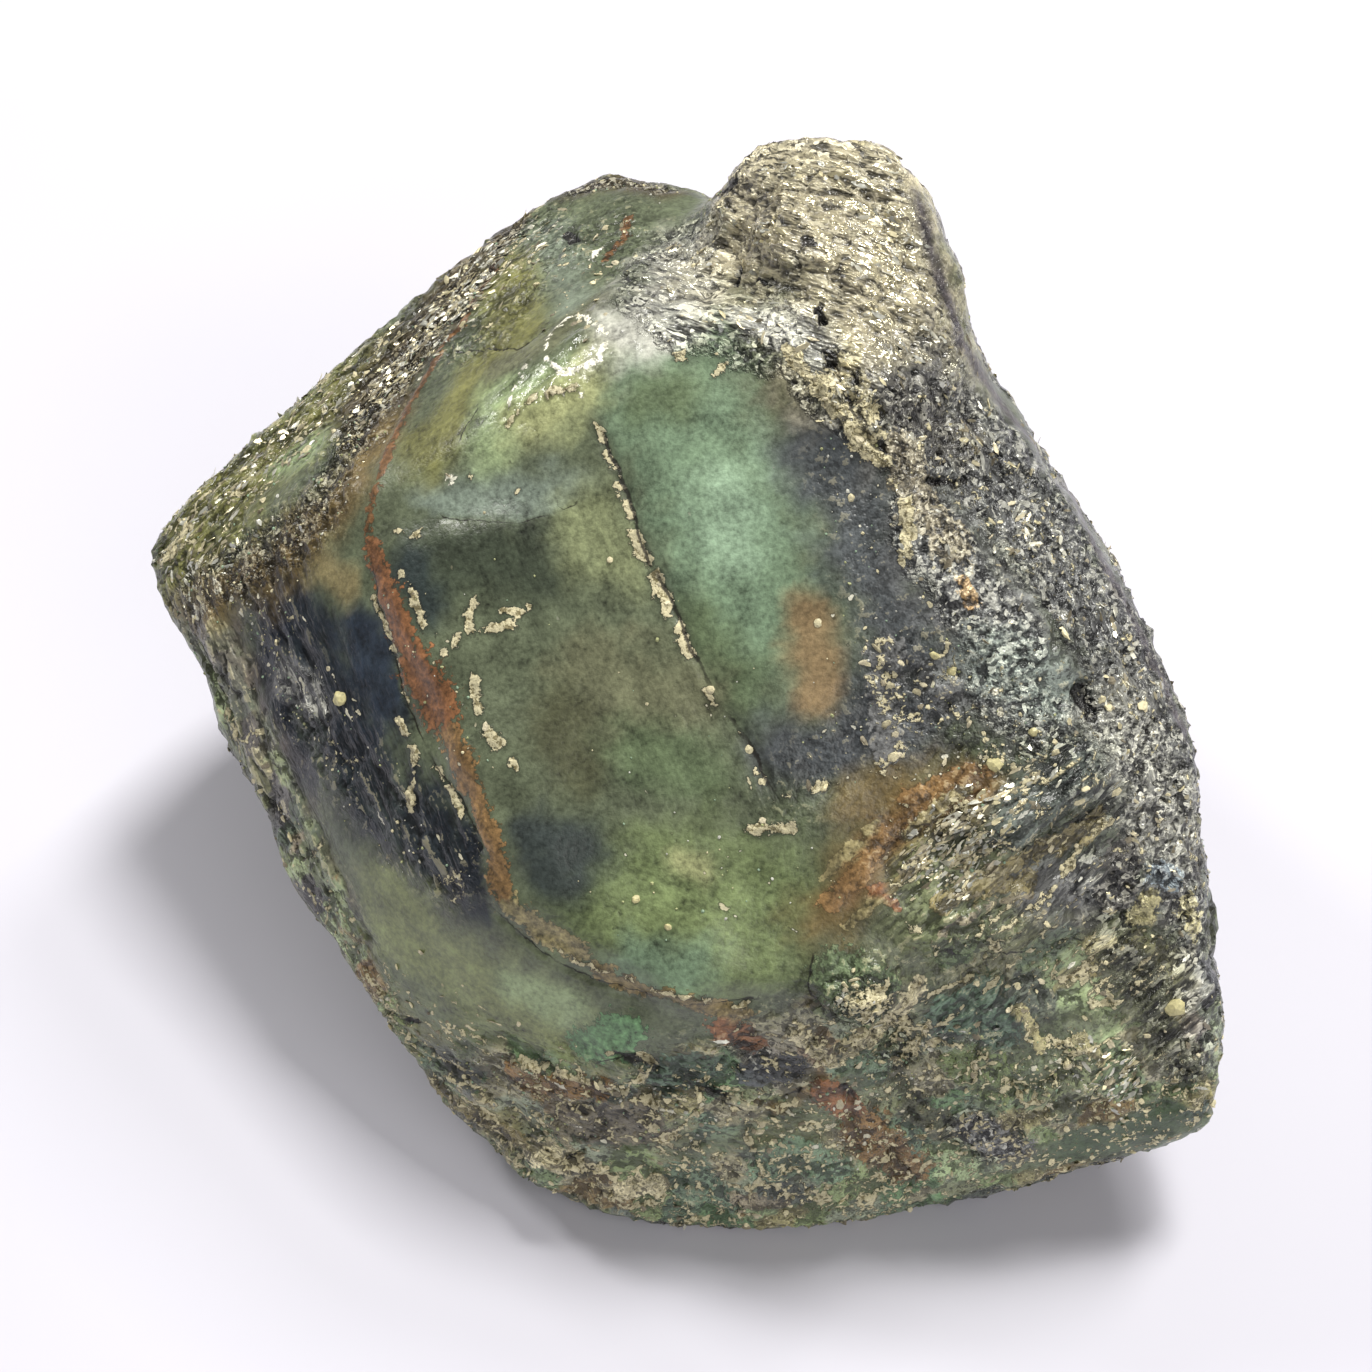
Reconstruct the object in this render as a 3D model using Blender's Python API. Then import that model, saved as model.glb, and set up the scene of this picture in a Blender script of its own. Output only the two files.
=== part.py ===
"""A raw emerald: one worn block of crystal with a knob and a rind of mica schist grown onto it.

The block is the space inside a set of worn flat faces, given by the corners where they meet.
The knob is a second, smaller set of faces, blended into the block's far right shoulder.
Lumps, ledges, cracks and pits are then raised on and cut into that smooth stone.
"""
import math

import bpy
import bmesh
import numpy as np
from mathutils import Vector, noise

MM = 0.001

# ---- driving dimensions, in millimetres. X right, Y to the back, Z up, table at 0 ----
EDGE_WEAR = 0.45          # how softly two faces of the block run into each other
KNOB_WEAR = 0.9           # the same on the knob, which is worn rounder
KNOB_BLEND = 0.8          # size of the hollow where the knob meets the block
SAME_FACE = math.radians(7)  # hull faces that turn less than this are one worn face
SWELL = 0.6               # the faces stand this far outside their corners' hull, for the wear to take off
HEART = (0.0, 0.0, 19.0)  # a point well inside, from which the whole surface can be seen

# Corners of the block where its worn faces meet.
BLOCK_CORNERS = {
    # the crest that forms the far rim, left to right
    "left_tip": (-29.6, 6.2, 20.0),
    "left_shoulder": (-20.6, 11.3, 26.2),
    "far_ridge": (-11.2, 18.4, 31.0),
    "crest": (-4.2, 22.0, 33.6),
    "notch": (0.5, 18.9, 33.8),
    "saddle": (12.6, 7.0, 35.5),
    # the right rim, from the saddle down to the foot
    "right_upper": (17.7, -1.0, 32.0),
    "right_middle": (23.4, -7.8, 27.0),
    "right_corner": (25.0, -13.2, 23.2),
    "right_low": (25.7, -18.1, 16.0),
    "right_foot": (26.7, -22.9, 8.0),
    "foot_right": (21.8, -22.0, 3.5),
    # the left rim, from the foot up
    "left_foot": (-12.2, -20.2, 4.0),
    "left_low": (-17.0, -15.2, 8.5),
    "left_side": (-20.7, -10.6, 12.5),
    "left_high": (-24.5, -3.0, 17.0),
    # the broad front face and the seam below it
    "face_left": (-15.3, 0.2, 30.0),
    "face_top": (-4.2, 3.2, 37.0),
    "face_top_right": (5.5, 3.2, 38.0),
    "face_middle_right": (11.3, -7.6, 33.2),
    "face_right": (18.8, -12.3, 29.0),
    "seam_left": (-9.0, -17.6, 20.0),
    "seam_middle": (0.7, -21.7, 18.0),
    "seam_right": (6.8, -20.8, 20.0),
    "strip_low": (-16.1, -14.4, 14.0),
    "strip_top": (-22.6, -1.2, 23.0),
    "foot_front": (4.0, -25.0, 1.5),
    "foot_front_left": (-4.5, -24.0, 2.0),
    # the side turned away
    "back_left_low": (-22.0, 14.0, 10.0),
    "back_left": (-18.0, 18.0, 19.0),
    "back_low": (-8.0, 24.0, 8.0),
    "back_middle": (-3.0, 25.0, 22.0),
    "back_right": (10.0, 21.0, 21.0),
    "back_right_low": (12.0, 19.0, 6.0),
    "right_back": (19.2, 6.5, 22.0),
    "right_back_low": (20.0, 6.0, 6.0),
    "right_side": (25.2, -9.0, 10.0),
    # the broken base that it rests on
    "base_front": (6.0, -22.8, -4.0),
    "base_front_left": (-2.6, -22.2, -4.0),
    "base_left_front": (-8.4, -13.6, -4.0),
    "base_front_right": (14.0, -20.8, -4.0),
    "base_right": (18.5, -9.0, -4.0),
    "base_right_back": (14.0, 2.0, -4.0),
    "base_back": (4.0, 11.0, -4.0),
    "base_back_left": (-6.0, 11.0, -4.0),
    "base_left_back": (-11.5, 4.0, -4.0),
    "base_left": (-11.5, -6.0, -4.0),
}

# Corners of the knob on the far right shoulder.
KNOB_CORNERS = {
    "notch_side": (0.9, 15.3, 36.0),
    "top_left": (3.0, 14.6, 41.2),
    "top": (8.4, 13.0, 44.3),
    "top_right": (11.4, 11.2, 43.6),
    "right_edge": (12.6, 6.4, 40.5),
    "front_left": (3.6, 3.8, 38.0),
    "front": (9.1, -2.2, 37.0),
    "front_right": (13.6, 1.6, 36.0),
    "root_back_left": (3.0, 19.0, 30.0),
    "root_back_right": (14.0, 14.0, 30.0),
    "root_right": (14.8, 4.0, 30.0),
    "root_left": (0.0, 8.0, 30.0),
}


# Ledges, where the skin of the stone stands higher on one side of a line and steps down on the other:
# the line, the way uphill, the height of the step, and how far behind it the extra height fades out.
LEDGES = {
    "rind_rim": {
        "line": [(-2.2, 3.9, 37.3), (1.6, 2.7, 37.7), (5.0, 0.8, 37.5), (7.0, -2.1, 36.1), (9.1, -3.8, 35.1),
                 (10.3, -7.2, 33.3), (12.8, -10.3, 31.1), (17.0, -12.5, 29.3)],
        "uphill": (0.8, 0.6, 0.2), "height": 0.5, "fade": 5.0},
    "flow_upper": {
        "line": [(12.0, -17.6, 23.7), (14.1, -17.4, 23.6), (16.8, -16.5, 23.9), (19.2, -15.4, 24.6),
                 (21.1, -14.7, 24.6)],
        "uphill": (-0.2, 0.4, 1.0), "height": 0.9, "fade": 2.6},
    "flow_middle": {
        "line": [(9.2, -19.7, 21.4), (11.5, -19.0, 22.0), (14.2, -18.1, 22.4), (17.3, -17.3, 22.4),
                 (19.3, -17.2, 21.6)],
        "uphill": (0.0, -0.6, -0.8), "height": 0.5, "fade": 2.5},
    "crack_lip": {
        "line": [(9.4, -20.5, 20.1), (12.0, -20.3, 19.6), (15.6, -19.9, 18.9), (18.6, -19.1, 18.9),
                 (20.6, -18.8, 18.4)],
        "uphill": (0.0, 0.4, 0.9), "height": 0.8, "fade": 3.0},
    "tongue": {
        "line": [(5.6, -20.8, 20.0), (6.0, -21.9, 17.8), (7.9, -22.2, 16.3), (9.6, -21.8, 17.3),
                 (10.9, -20.9, 19.0)],
        "uphill": (0.1, 0.3, 0.9), "height": 0.9, "fade": 3.0},
    "seam_lip": {
        "line": [(-9.5, -17.3, 19.5), (-6.8, -19.0, 19.0), (-4.6, -20.1, 18.3), (-2.2, -21.1, 17.9),
                 (0.2, -21.7, 17.6), (2.6, -21.8, 18.1), (5.4, -21.5, 18.9)],
        "uphill": (0.2, 0.5, 0.9), "height": 0.5, "fade": 5.0},
    "red_vein_lip": {
        "line": [(-15.3, -1.7, 28.8), (-14.1, -4.9, 27.1), (-12.0, -9.0, 25.1), (-10.0, -13.0, 23.1),
                 (-9.0, -16.8, 20.5)],
        "uphill": (0.9, 0.2, 0.4), "height": 0.6, "fade": 5.0},
    "flake_scar": {
        "line": [(-12.6, -2.0, 30.2), (-10.1, -2.7, 30.8), (-7.6, -2.8, 31.7), (-5.8, -2.2, 32.8)],
        "uphill": (0.1, -0.8, -0.4), "height": 0.5, "fade": 3.0},
    "back_ledge": {
        "line": [(-15.2, 18.1, 24.0), (-8.2, 22.4, 22.4), (0.0, 24.3, 21.1), (7.9, 21.8, 18.2),
                 (12.7, 18.1, 15.1)],
        "uphill": (0.1, 0.2, -0.9), "height": 0.6, "fade": 4.0},
    "right_ledge": {
        "line": [(15.4, 5.6, 32.8), (18.6, 3.3, 27.8), (21.3, 0.0, 23.5), (23.3, -3.3, 19.0),
                 (24.3, -6.1, 13.7)],
        "uphill": (0.3, -0.8, 0.2), "height": 0.6, "fade": 4.0},
    "left_ledge": {
        "line": [(-27.4, 8.6, 17.0), (-24.4, 12.4, 13.4), (-21.1, 14.8, 10.6)],
        "uphill": (0.2, 0.8, 0.3), "height": 0.6, "fade": 4.0},
}

# Cracks, cut along a line: the line, the depth and the half width.
CRACKS = {
    "long_crack": {
        "line": [(-4.2, 0.3, 35.1), (-2.5, -4.4, 32.3), (-0.9, -7.7, 30.3), (0.7, -10.7, 28.4),
                 (3.7, -14.3, 26.0)],
        "depth": 0.3, "width": 0.5},
    "seam": {"line": LEDGES["seam_lip"]["line"], "depth": 0.5, "width": 0.7},
    "low_crack": {"line": LEDGES["crack_lip"]["line"], "depth": 0.8, "width": 0.6},
    "flow_groove": {"line": LEDGES["flow_upper"]["line"], "depth": 0.5, "width": 0.7},
    "right_crack": {
        "line": [(21.8, -11.8, 27.1), (22.1, -12.9, 26.2), (21.6, -14.0, 25.3)],
        "depth": 0.6, "width": 0.5},
    "back_crack": {
        "line": [(9.5, 16.4, 29.9), (7.2, 19.9, 25.9), (4.9, 23.2, 21.1), (4.0, 22.6, 15.8)],
        "depth": 0.7, "width": 0.7},
    "side_crack": {
        "line": [(17.5, 10.1, 20.8), (19.3, 7.0, 17.2), (21.5, 1.9, 15.2), (22.9, -2.0, 13.3)],
        "depth": 0.6, "width": 0.6},
}

# Lumps and, where the height is negative, pits: the middle, how far it reaches and the height.
LUMPS = {
    "blue_lens": ((16.4, -15.6, 25.4), 2.6, 0.7),
    "green_lobe": ((8.0, -21.4, 18.6), 2.6, 0.5),
    "green_chip": ((5.2, -24.1, 7.2), 3.4, 0.8),
    "grey_lens": ((-4.2, -22.6, 9.4), 3.2, 0.6),
    "pale_blob_left": ((-7.1, -22.6, 4.2), 1.8, 0.9),
    "pale_blob_right": ((-2.6, -24.0, 3.6), 1.6, 0.8),
    "chunk_upper": ((8.3, 0.7, 37.9), 1.6, 0.8),
    "chunk_lower": ((8.4, -1.6, 36.6), 1.5, 0.8),
    "foot_groove": ((1.8, -25.0, 2.0), 1.3, -1.1),
    "dark_pit": ((18.2, -12.3, 29.1), 1.2, -1.3),
    "dark_hole": ((9.7, -22.4, 15.1), 1.5, -1.2),
    "knob_hollow_left": ((2.4, 8.2, 38.1), 1.8, -1.0),
    "knob_hollow_middle": ((4.2, 5.6, 38.8), 1.5, -1.0),
    "knob_hollow_right": ((6.6, 3.2, 39.0), 1.4, -1.1),
    "knob_hollow_low": ((7.2, 1.2, 38.0), 1.0, -0.9),
    "notch_hollow": ((0.7, 12.4, 36.5), 1.6, -0.8),
    "knob_brow": ((5.2, 7.4, 40.4), 2.0, 0.7),
    "back_lump_high": ((-4.1, 23.4, 27.6), 4.0, 0.8),
    "back_lump_left": ((-14.2, 20.3, 16.8), 4.5, 0.9),
    "back_pit": ((2.0, 22.7, 12.9), 2.4, -1.1),
    "side_pit": ((20.0, 4.3, 22.6), 2.0, -1.0),
    "side_lump": ((15.7, 11.0, 24.1), 4.0, 0.8),
    "left_lump": ((-20.4, -9.5, 10.8), 2.5, 0.5),
}

# Rough mica schist skins the stone around these places, as far as the distance given. It is smooth elsewhere.
ROUGH_PLACES = {
    "knob": ((7.0, 9.0, 41.0), 9.0),
    "notch": ((-0.5, 12.0, 36.5), 5.0),
    "band_top": ((13.5, 0.0, 36.0), 5.0),
    "band_upper": ((17.0, -6.0, 32.0), 5.0),
    "band_middle": ((22.0, -12.0, 27.0), 5.5),
    "band_low": ((25.0, -18.0, 17.0), 6.0),
    "low_right": ((17.0, -21.0, 12.0), 7.0),
    "low_middle": ((7.0, -23.0, 11.0), 7.0),
    "low_left": ((-2.0, -23.0, 8.0), 7.0),
    "left_foot": ((-10.0, -21.0, 6.0), 5.0),
    "left_rim": ((-24.0, -2.0, 18.0), 5.0),
    "right_side": ((24.0, -2.0, 18.0), 12.0),
    "back": ((2.0, 24.0, 20.0), 16.0),
    "back_left": ((-16.0, 20.0, 14.0), 12.0),
}
WORN_ROUGHNESS = 0.12     # how much of the schist's roughness the worn crystal faces have
SCHIST_RELIEF = 0.65      # height of the schist's lumps
SCHIST_LUMP = 4.2         # and how far apart they are
SWELL_RELIEF = 0.35       # the slow swells of every face
SWELL_LENGTH = 11.0
WANDER = 1.0              # how far lines and places wander from where they are named
STEP_SHARPNESS = 0.5      # distance over which a ledge steps up
UNEVENNESS = 0.9          # how much a ledge's height varies along its line
FOOT_FADE = 2.0           # the relief dies out over this height above the table
TRIANGLES = 9400


def faces_of(corners):
    """Outward unit normals and distances of the planes of the corners' convex hull, in millimetres."""
    hull = bmesh.new()
    for corner in corners.values():
        hull.verts.new(corner)
    bmesh.ops.convex_hull(hull, input=hull.verts)
    loose = [v for v in hull.verts if not v.link_faces]
    bmesh.ops.delete(hull, geom=loose, context="VERTS")
    bmesh.ops.recalc_face_normals(hull, faces=hull.faces)
    bmesh.ops.dissolve_limit(hull, angle_limit=SAME_FACE, verts=hull.verts, edges=hull.edges)
    normals = np.array([f.normal[:] for f in hull.faces])
    offsets = np.array([f.normal.dot(f.calc_center_median()) for f in hull.faces]) + SWELL
    hull.free()
    return normals, offsets


def soft_maximum(values, softness):
    """The largest of the last axis, rounded off where two values come within softness of each other."""
    top = values.max(axis=-1)
    return top + softness * np.log(np.exp((values - top[..., None]) / softness).sum(axis=-1))


def smooth_stone(points, block, knob):
    """How far each point is outside the smooth stone, in millimetres. It is negative inside."""
    to_block = soft_maximum(points @ block[0].T - block[1], EDGE_WEAR)
    to_knob = soft_maximum(points @ knob[0].T - knob[1], KNOB_WEAR)
    return -soft_maximum(-np.stack([to_block, to_knob], axis=-1), KNOB_BLEND)


def surface_points(directions, block, knob):
    """Where rays from the heart leave the smooth stone, found by halving."""
    heart = np.array(HEART)
    near = np.zeros(len(directions))
    far = np.full(len(directions), 60.0)
    for _ in range(22):
        middle = (near + far) / 2
        inside = smooth_stone(heart + middle[:, None] * directions, block, knob) < 0
        near = np.where(inside, middle, near)
        far = np.where(inside, far, middle)
    return heart + near[:, None] * directions


def rough_heights(points, size, octaves, seed):
    """Smooth random heights, about -1 to 1, with their largest lumps about size apart."""
    start = Vector((seed, -seed, 0.5 * seed))
    return np.array([noise.fractal(Vector(p) / size + start, 0.7, 2.0, octaves) for p in points])


def nearest_on_line(points, line):
    """The nearest place on a chain of straight pieces, for each point."""
    line = np.array(line)
    best = np.full(len(points), np.inf)
    nearest = np.zeros_like(points)
    for start, end in zip(line[:-1], line[1:]):
        along = ((points - start) @ (end - start)) / ((end - start) @ (end - start))
        place = start + np.clip(along, 0.0, 1.0)[:, None] * (end - start)
        distance = np.linalg.norm(points - place, axis=1)
        closer = distance < best
        best[closer] = distance[closer]
        nearest[closer] = place[closer]
    return nearest, best


def ends_fade(nearest, line):
    """1 along the line, falling to 0 within two millimetres of its ends."""
    to_start = np.linalg.norm(nearest - np.array(line[0]), axis=1)
    to_end = np.linalg.norm(nearest - np.array(line[-1]), axis=1)
    return np.clip(np.minimum(to_start, to_end) / 2.0, 0.0, 1.0)


def ledge_height(points, ledge):
    """Up on the uphill side of the line, unevenly along it, then fading out behind it."""
    nearest, distance = nearest_on_line(points, ledge["line"])
    uphill = np.array(ledge["uphill"]) / np.linalg.norm(ledge["uphill"])
    side = distance * np.sign((points - nearest) @ uphill)
    step = 0.5 + 0.5 * np.tanh(side / STEP_SHARPNESS)
    fade = np.exp(-(np.maximum(side, 0.0) / ledge["fade"]) ** 2)
    uneven = 1.0 + UNEVENNESS * rough_heights(nearest, 3.0, 1, 31.0)
    return ledge["height"] * uneven * step * fade * ends_fade(nearest, ledge["line"])


def crack_height(points, crack):
    """Down along the line, to a rounded bottom."""
    nearest, distance = nearest_on_line(points, crack["line"])
    return -crack["depth"] * np.exp(-(distance / crack["width"]) ** 2) * ends_fade(nearest, crack["line"])


def lump_height(points, place, reach, height):
    """A round lump, or a pit where the height is negative."""
    distance = np.linalg.norm(points - np.array(place), axis=1)
    return height * np.exp(-(distance / reach) ** 2)


def roughness(points):
    """How rough the skin is, from the worn faces' share to 1 on the schist."""
    schist = np.zeros(len(points))
    for place, reach in ROUGH_PLACES.values():
        distance = np.linalg.norm(points - np.array(place), axis=1)
        schist = np.maximum(schist, np.clip(2.0 * (1.2 - distance / reach), 0.0, 1.0))
    return WORN_ROUGHNESS + (1.0 - WORN_ROUGHNESS) * schist


def relief(points):
    """Height of the skin over the smooth stone at each of its points."""
    wander = np.stack([rough_heights(points, 4.0, 2, seed) for seed in (3.0, 7.0, 11.0)], axis=1)
    wandered = points + WANDER * wander
    height = SWELL_RELIEF * rough_heights(points, SWELL_LENGTH, 1, 19.0)
    schist = rough_heights(points + 1.5 * wander, SCHIST_LUMP, 2, 23.0)
    height += SCHIST_RELIEF * roughness(points) * schist
    for ledge in LEDGES.values():
        height += ledge_height(wandered, ledge)
    for crack in CRACKS.values():
        height += crack_height(wandered, crack)
    for place, reach, size in LUMPS.values():
        height += lump_height(wandered, place, reach, size)
    return height * np.clip(points[:, 2] / FOOT_FADE, 0.0, 1.0)


def stone_ball():
    """A finely divided ball pushed out to the smooth stone, then given its relief."""
    block, knob = faces_of(BLOCK_CORNERS), faces_of(KNOB_CORNERS)
    ball = bmesh.new()
    bmesh.ops.create_icosphere(ball, subdivisions=7, radius=1.0)
    directions = np.array([v.co[:] for v in ball.verts])
    points = surface_points(directions, block, knob)
    for vertex, point in zip(ball.verts, points):
        vertex.co = point
    ball.normal_update()
    normals = np.array([v.normal[:] for v in ball.verts])
    points += relief(points)[:, None] * normals
    points[:, 2] = np.maximum(points[:, 2], 0.0)
    middle = (points[:, :2].min(axis=0) + points[:, :2].max(axis=0)) / 2
    points[:, :2] -= middle
    for vertex, point in zip(ball.verts, points * MM):
        vertex.co = point
    return ball


def stone_material():
    material = bpy.data.materials.new("emerald")
    material.use_nodes = True
    shader = material.node_tree.nodes["Principled BSDF"]
    shader.inputs["Base Color"].default_value = (0.16, 0.21, 0.13, 1.0)
    shader.inputs["Roughness"].default_value = 0.42
    shader.inputs["Metallic"].default_value = 0.0
    return material


def main():
    for old in list(bpy.data.objects):
        bpy.data.objects.remove(old)
    ball = stone_ball()
    mesh = bpy.data.meshes.new("emerald")
    ball.to_mesh(mesh)
    ball.free()
    mesh.materials.append(stone_material())
    stone = bpy.data.objects.new("emerald", mesh)
    bpy.context.scene.collection.objects.link(stone)
    thin = stone.modifiers.new("fewer_faces", "DECIMATE")
    thin.ratio = TRIANGLES / len(mesh.polygons)


main()
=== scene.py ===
"""The raw emerald, dressed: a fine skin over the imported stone, grains and mica flakes on it, a plain studio.

The skin's places are named by where they show in a square picture, PICTURE_SIDE pixels wide, taken by
this scene's own camera. Each is carried back onto the stone, so it is a place on the stone, seen from any
side. Lengths are in millimetres in the stone's own frame, until a mesh is made.
"""

import itertools
import math

import bmesh
import bpy
import numpy as np
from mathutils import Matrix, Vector
from mathutils.bvhtree import BVHTree


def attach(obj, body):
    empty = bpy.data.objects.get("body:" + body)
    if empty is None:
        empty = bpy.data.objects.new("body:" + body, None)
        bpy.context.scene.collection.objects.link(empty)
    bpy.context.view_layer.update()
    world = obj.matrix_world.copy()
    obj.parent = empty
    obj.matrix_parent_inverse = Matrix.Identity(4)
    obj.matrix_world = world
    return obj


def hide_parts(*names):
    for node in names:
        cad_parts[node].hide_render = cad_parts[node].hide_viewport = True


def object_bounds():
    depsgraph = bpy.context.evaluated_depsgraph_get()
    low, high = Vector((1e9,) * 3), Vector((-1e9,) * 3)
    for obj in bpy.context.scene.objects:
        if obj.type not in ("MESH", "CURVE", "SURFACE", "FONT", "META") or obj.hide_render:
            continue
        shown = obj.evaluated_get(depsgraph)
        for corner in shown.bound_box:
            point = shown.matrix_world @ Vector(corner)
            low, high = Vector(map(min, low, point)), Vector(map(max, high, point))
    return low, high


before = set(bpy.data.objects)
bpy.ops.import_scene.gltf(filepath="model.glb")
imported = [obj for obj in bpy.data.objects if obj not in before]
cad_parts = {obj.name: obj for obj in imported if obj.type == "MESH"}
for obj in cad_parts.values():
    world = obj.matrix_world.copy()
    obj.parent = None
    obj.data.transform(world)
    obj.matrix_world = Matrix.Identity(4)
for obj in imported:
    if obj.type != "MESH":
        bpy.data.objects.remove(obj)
cad_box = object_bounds()

MM = 0.001
NODE = "emerald"
BODY = "root"
SEED = 11

# ---- the camera ----
PICTURE_SIDE = 1372
FOCAL_PIXELS = 2400.0
LOOK_DOWN = math.radians(50)
CAMERA_PLACE = np.array([1.13, -84.2, 115.6])
SENSOR = 36.0
PIXELS_A_STEP = 5.0         # how far apart a stroke's points are in the picture
WIDE_STEP = 12.0            # the same for wide soft strokes
CLOSE_STEP = 3.0            # and for cracks, ribbons and pits

# ---- the skin, in millimetres ----
VOXEL = 0.46                # spacing of the skin's points, halved on rough ground
SMOOTH_ROUNDS = 8           # rounds of smoothing that take the solid's flat triangles away
FINE_FROM = 0.42            # how rough the ground is where the points get closer
RAGGED = 0.55               # how far the edge of a patch wanders
DRAWN_OUT = 0.74            # how much longer than wide streaks are: 0 for round, near 1 for lines
BROKEN_BELOW = (24.0, 14.0) # the heights between which rough ground turns into a mosaic of colours
# Painted light: the seen side of the foot is painted lighter, standing in for light that falls short of its
# low, down-facing faces.
PAINTED_LIGHT_BELOW = (16.0, 11.0) # the heights between which the seen side of the foot gets brighter
FOOT_PAINTED_LIGHT = 0.35            # how much brighter it gets
LOW_GROUND = (8.0, 4.0)     # the heights between which the stone's foot turns rough all round
RIND_FROM = 16.0            # how far to the right the schist covers the whole of the hidden side

# How far each kind of relief stands out, or goes in.
SWELL = 0.08                # the whole stone's broad swell
ROUGH_RISE = 0.20           # rough ground on the hidden sides
SEEN_RISE = 0.10            # what is added to it where the camera sees it
CHIP_RISE = 0.09
PIT_DEPTH = 0.40
GLOSSY_LUMPS = 0.13         # the glossy crystal's lumps
CRUST_RISE = 0.22
STREAK_RISE = 0.12
FILLING_RISE = 0.06         # the cream ribbons
FOIL_FOLDS = 0.45
CREASE_DEPTH = 0.12
CREVICE_DEPTH = 0.16

# ---- the grains: how many of each ----
FLAKES = 7000
CRUMBS = 2400
PALE_SPECKS = 3600

# ---- the stone's finish: the sizes of its patterns in millimetres ----
FINE_SIZE = 0.28
GRAIN_SIZE = 0.46
FLAKE_SIZE = 0.26
FLECK_SIZE = 0.62

# ---- the studio, in metres and watts ----
FLOOR_SIDE = 1.5
FLOOR_COLOUR = (0.64, 0.635, 0.715)
FLOOR_CLOUDS = 30.0         # the size of the paper's faint clouds, in millimetres
WORLD_COLOUR = (1.0, 0.98, 0.95, 1.0)
WORLD_STRENGTH = 0.18
AIM = (0, 0, 0.02)          # the place that every light looks at
# name, place, side, power and colour
LIGHTS = [
    ("overhead", (0.13, 0.16, 0.58), 0.16, 3.15, (1.0, 0.98, 0.93)),
    ("back left", (-0.30, 0.20, 0.36), 0.08, 0.8, (1.0, 0.98, 0.94)),
    ("back right", (0.22, 0.27, 0.46), 0.12, 0.9, (1.0, 0.98, 0.94)),
    ("fill", (0.20, -0.34, 0.32), 0.36, 0.95, (1.0, 0.98, 0.94)),
]

# ---- colours, as red, green and blue out of 255 ----
PALETTE = {
    "grey_green": (92, 100, 78),
    "mint": (112, 134, 108),
    "mint_light": (138, 162, 136),
    "deep_green": (88, 102, 74),
    "dark_green": (60, 68, 54),
    "blue_black": (44, 54, 54),
    "olive": (126, 133, 98),
    "dark_olive": (76, 78, 56),
    "grey_brown": (102, 104, 80),
    "yellow_green": (160, 164, 118),
    "pale_green": (140, 156, 116),
    "chip_grey": (122, 128, 112),
    "slate": (72, 76, 80),
    "slate_blue": (34, 44, 58),
    "navy": (15, 24, 38),
    "haze_brown": (126, 98, 62),
    "rust": (122, 82, 52),
    "tan": (132, 122, 86),
    "olive_brown": (116, 102, 68),
    "apple": (110, 124, 82),
    "yellow": (196, 188, 140),
    "strip": (98, 90, 84),
    "band_dark": (78, 68, 50),
    "rim_green": (112, 112, 66),
    "blue_green": (116, 126, 110),
    "orange": (170, 138, 92),
    "silver": (188, 188, 178),
    "knob_cream": (200, 191, 162),
    "schist": (116, 117, 117),
    "dark_schist": (98, 96, 92),
    "beige": (134, 126, 106),
    "cream": (207, 198, 162),
    "lens": (96, 104, 98),
    "teal": (80, 100, 84),
    "sky": (160, 174, 182),
    "emerald_green": (84, 116, 80),
    "moss": (104, 110, 80),
    "corner_green": (56, 72, 48),
    "lens_grey": (98, 92, 78),
    "spot": (52, 60, 60),
    "ash": (153, 164, 155),
    # Painted shade for the right outline.
    "slick": (82, 77, 82),
    "dull_brown": (104, 88, 54),
    "scar": (116, 128, 116),
    "sage": (118, 126, 84),
    "dim": (84, 86, 68),
    "rust_line": (102, 72, 44),
    # Near white: painted highlight lines, and the pale of mica glints, flakes and flecks.
    "gleam": (226, 224, 206),
    # Painted shade: near black for the pits and the right outline's edge, where shade falls.
    "sooty": (44, 42, 44),
    "blob": (131, 111, 80),
}

MOSAIC = ("deep_green", "apple", "teal", "tan", "slate", "grey_brown", "pale_green", "moss", "beige",
          "emerald_green", "chip_grey", "haze_brown")

# ---- lines where one colour stops short at another ----
EDGES = {
    "main crack": [(592, 380), (601, 425), (620, 473), (636, 534), (657, 575), (677, 612), (701, 665),
                   (722, 708), (752, 750), (768, 784)],
    "vein left": [(362, 500), (370, 545), (378, 600), (392, 640), (402, 690), (415, 725), (440, 775),
                  (462, 800), (482, 850), (490, 905)],
    "vein right": [(372, 500), (392, 545), (412, 590), (430, 640), (456, 690), (472, 740), (490, 790),
                   (503, 840), (505, 905)],
    "seam": [(440, 850), (490, 905), (540, 952), (593, 979), (650, 995), (750, 1000), (800, 985)],
    "scar": [(395, 500), (444, 517), (518, 523), (555, 512), (585, 500)],
    "rind": [(740, 330), (788, 357), (831, 411), (870, 450), (900, 476), (905, 560), (960, 640), (1050, 700)],
    "rust": [(515, 235), (499, 259), (479, 291), (462, 322), (443, 346), (428, 375), (414, 400), (402, 424),
             (385, 460), (370, 509)],
    "lens": [(960, 862), (1018, 851), (1070, 824), (1110, 815)],
}

# ---- strokes that more than one kind of ground follows, as places in the picture ----
KNOB = [(760, 220), (840, 200), (870, 280), (900, 330)]
KNOB_TOP = [(735, 185), (765, 155), (820, 140), (870, 140), (905, 165)]
RIGHT_BAND = [(930, 420), (1000, 470), (1060, 560), (1120, 640), (1150, 720), (1180, 820)]
RIGHT_LOW = [(1190, 900), (1195, 1000), (1195, 1060)]
TOP_RIM = [(520, 215), (570, 188), (620, 180), (660, 188)]
UPPER_FACET = [(180, 520), (250, 460), (340, 385)]
FACE = [(520, 560), (640, 620), (700, 760)]

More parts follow.
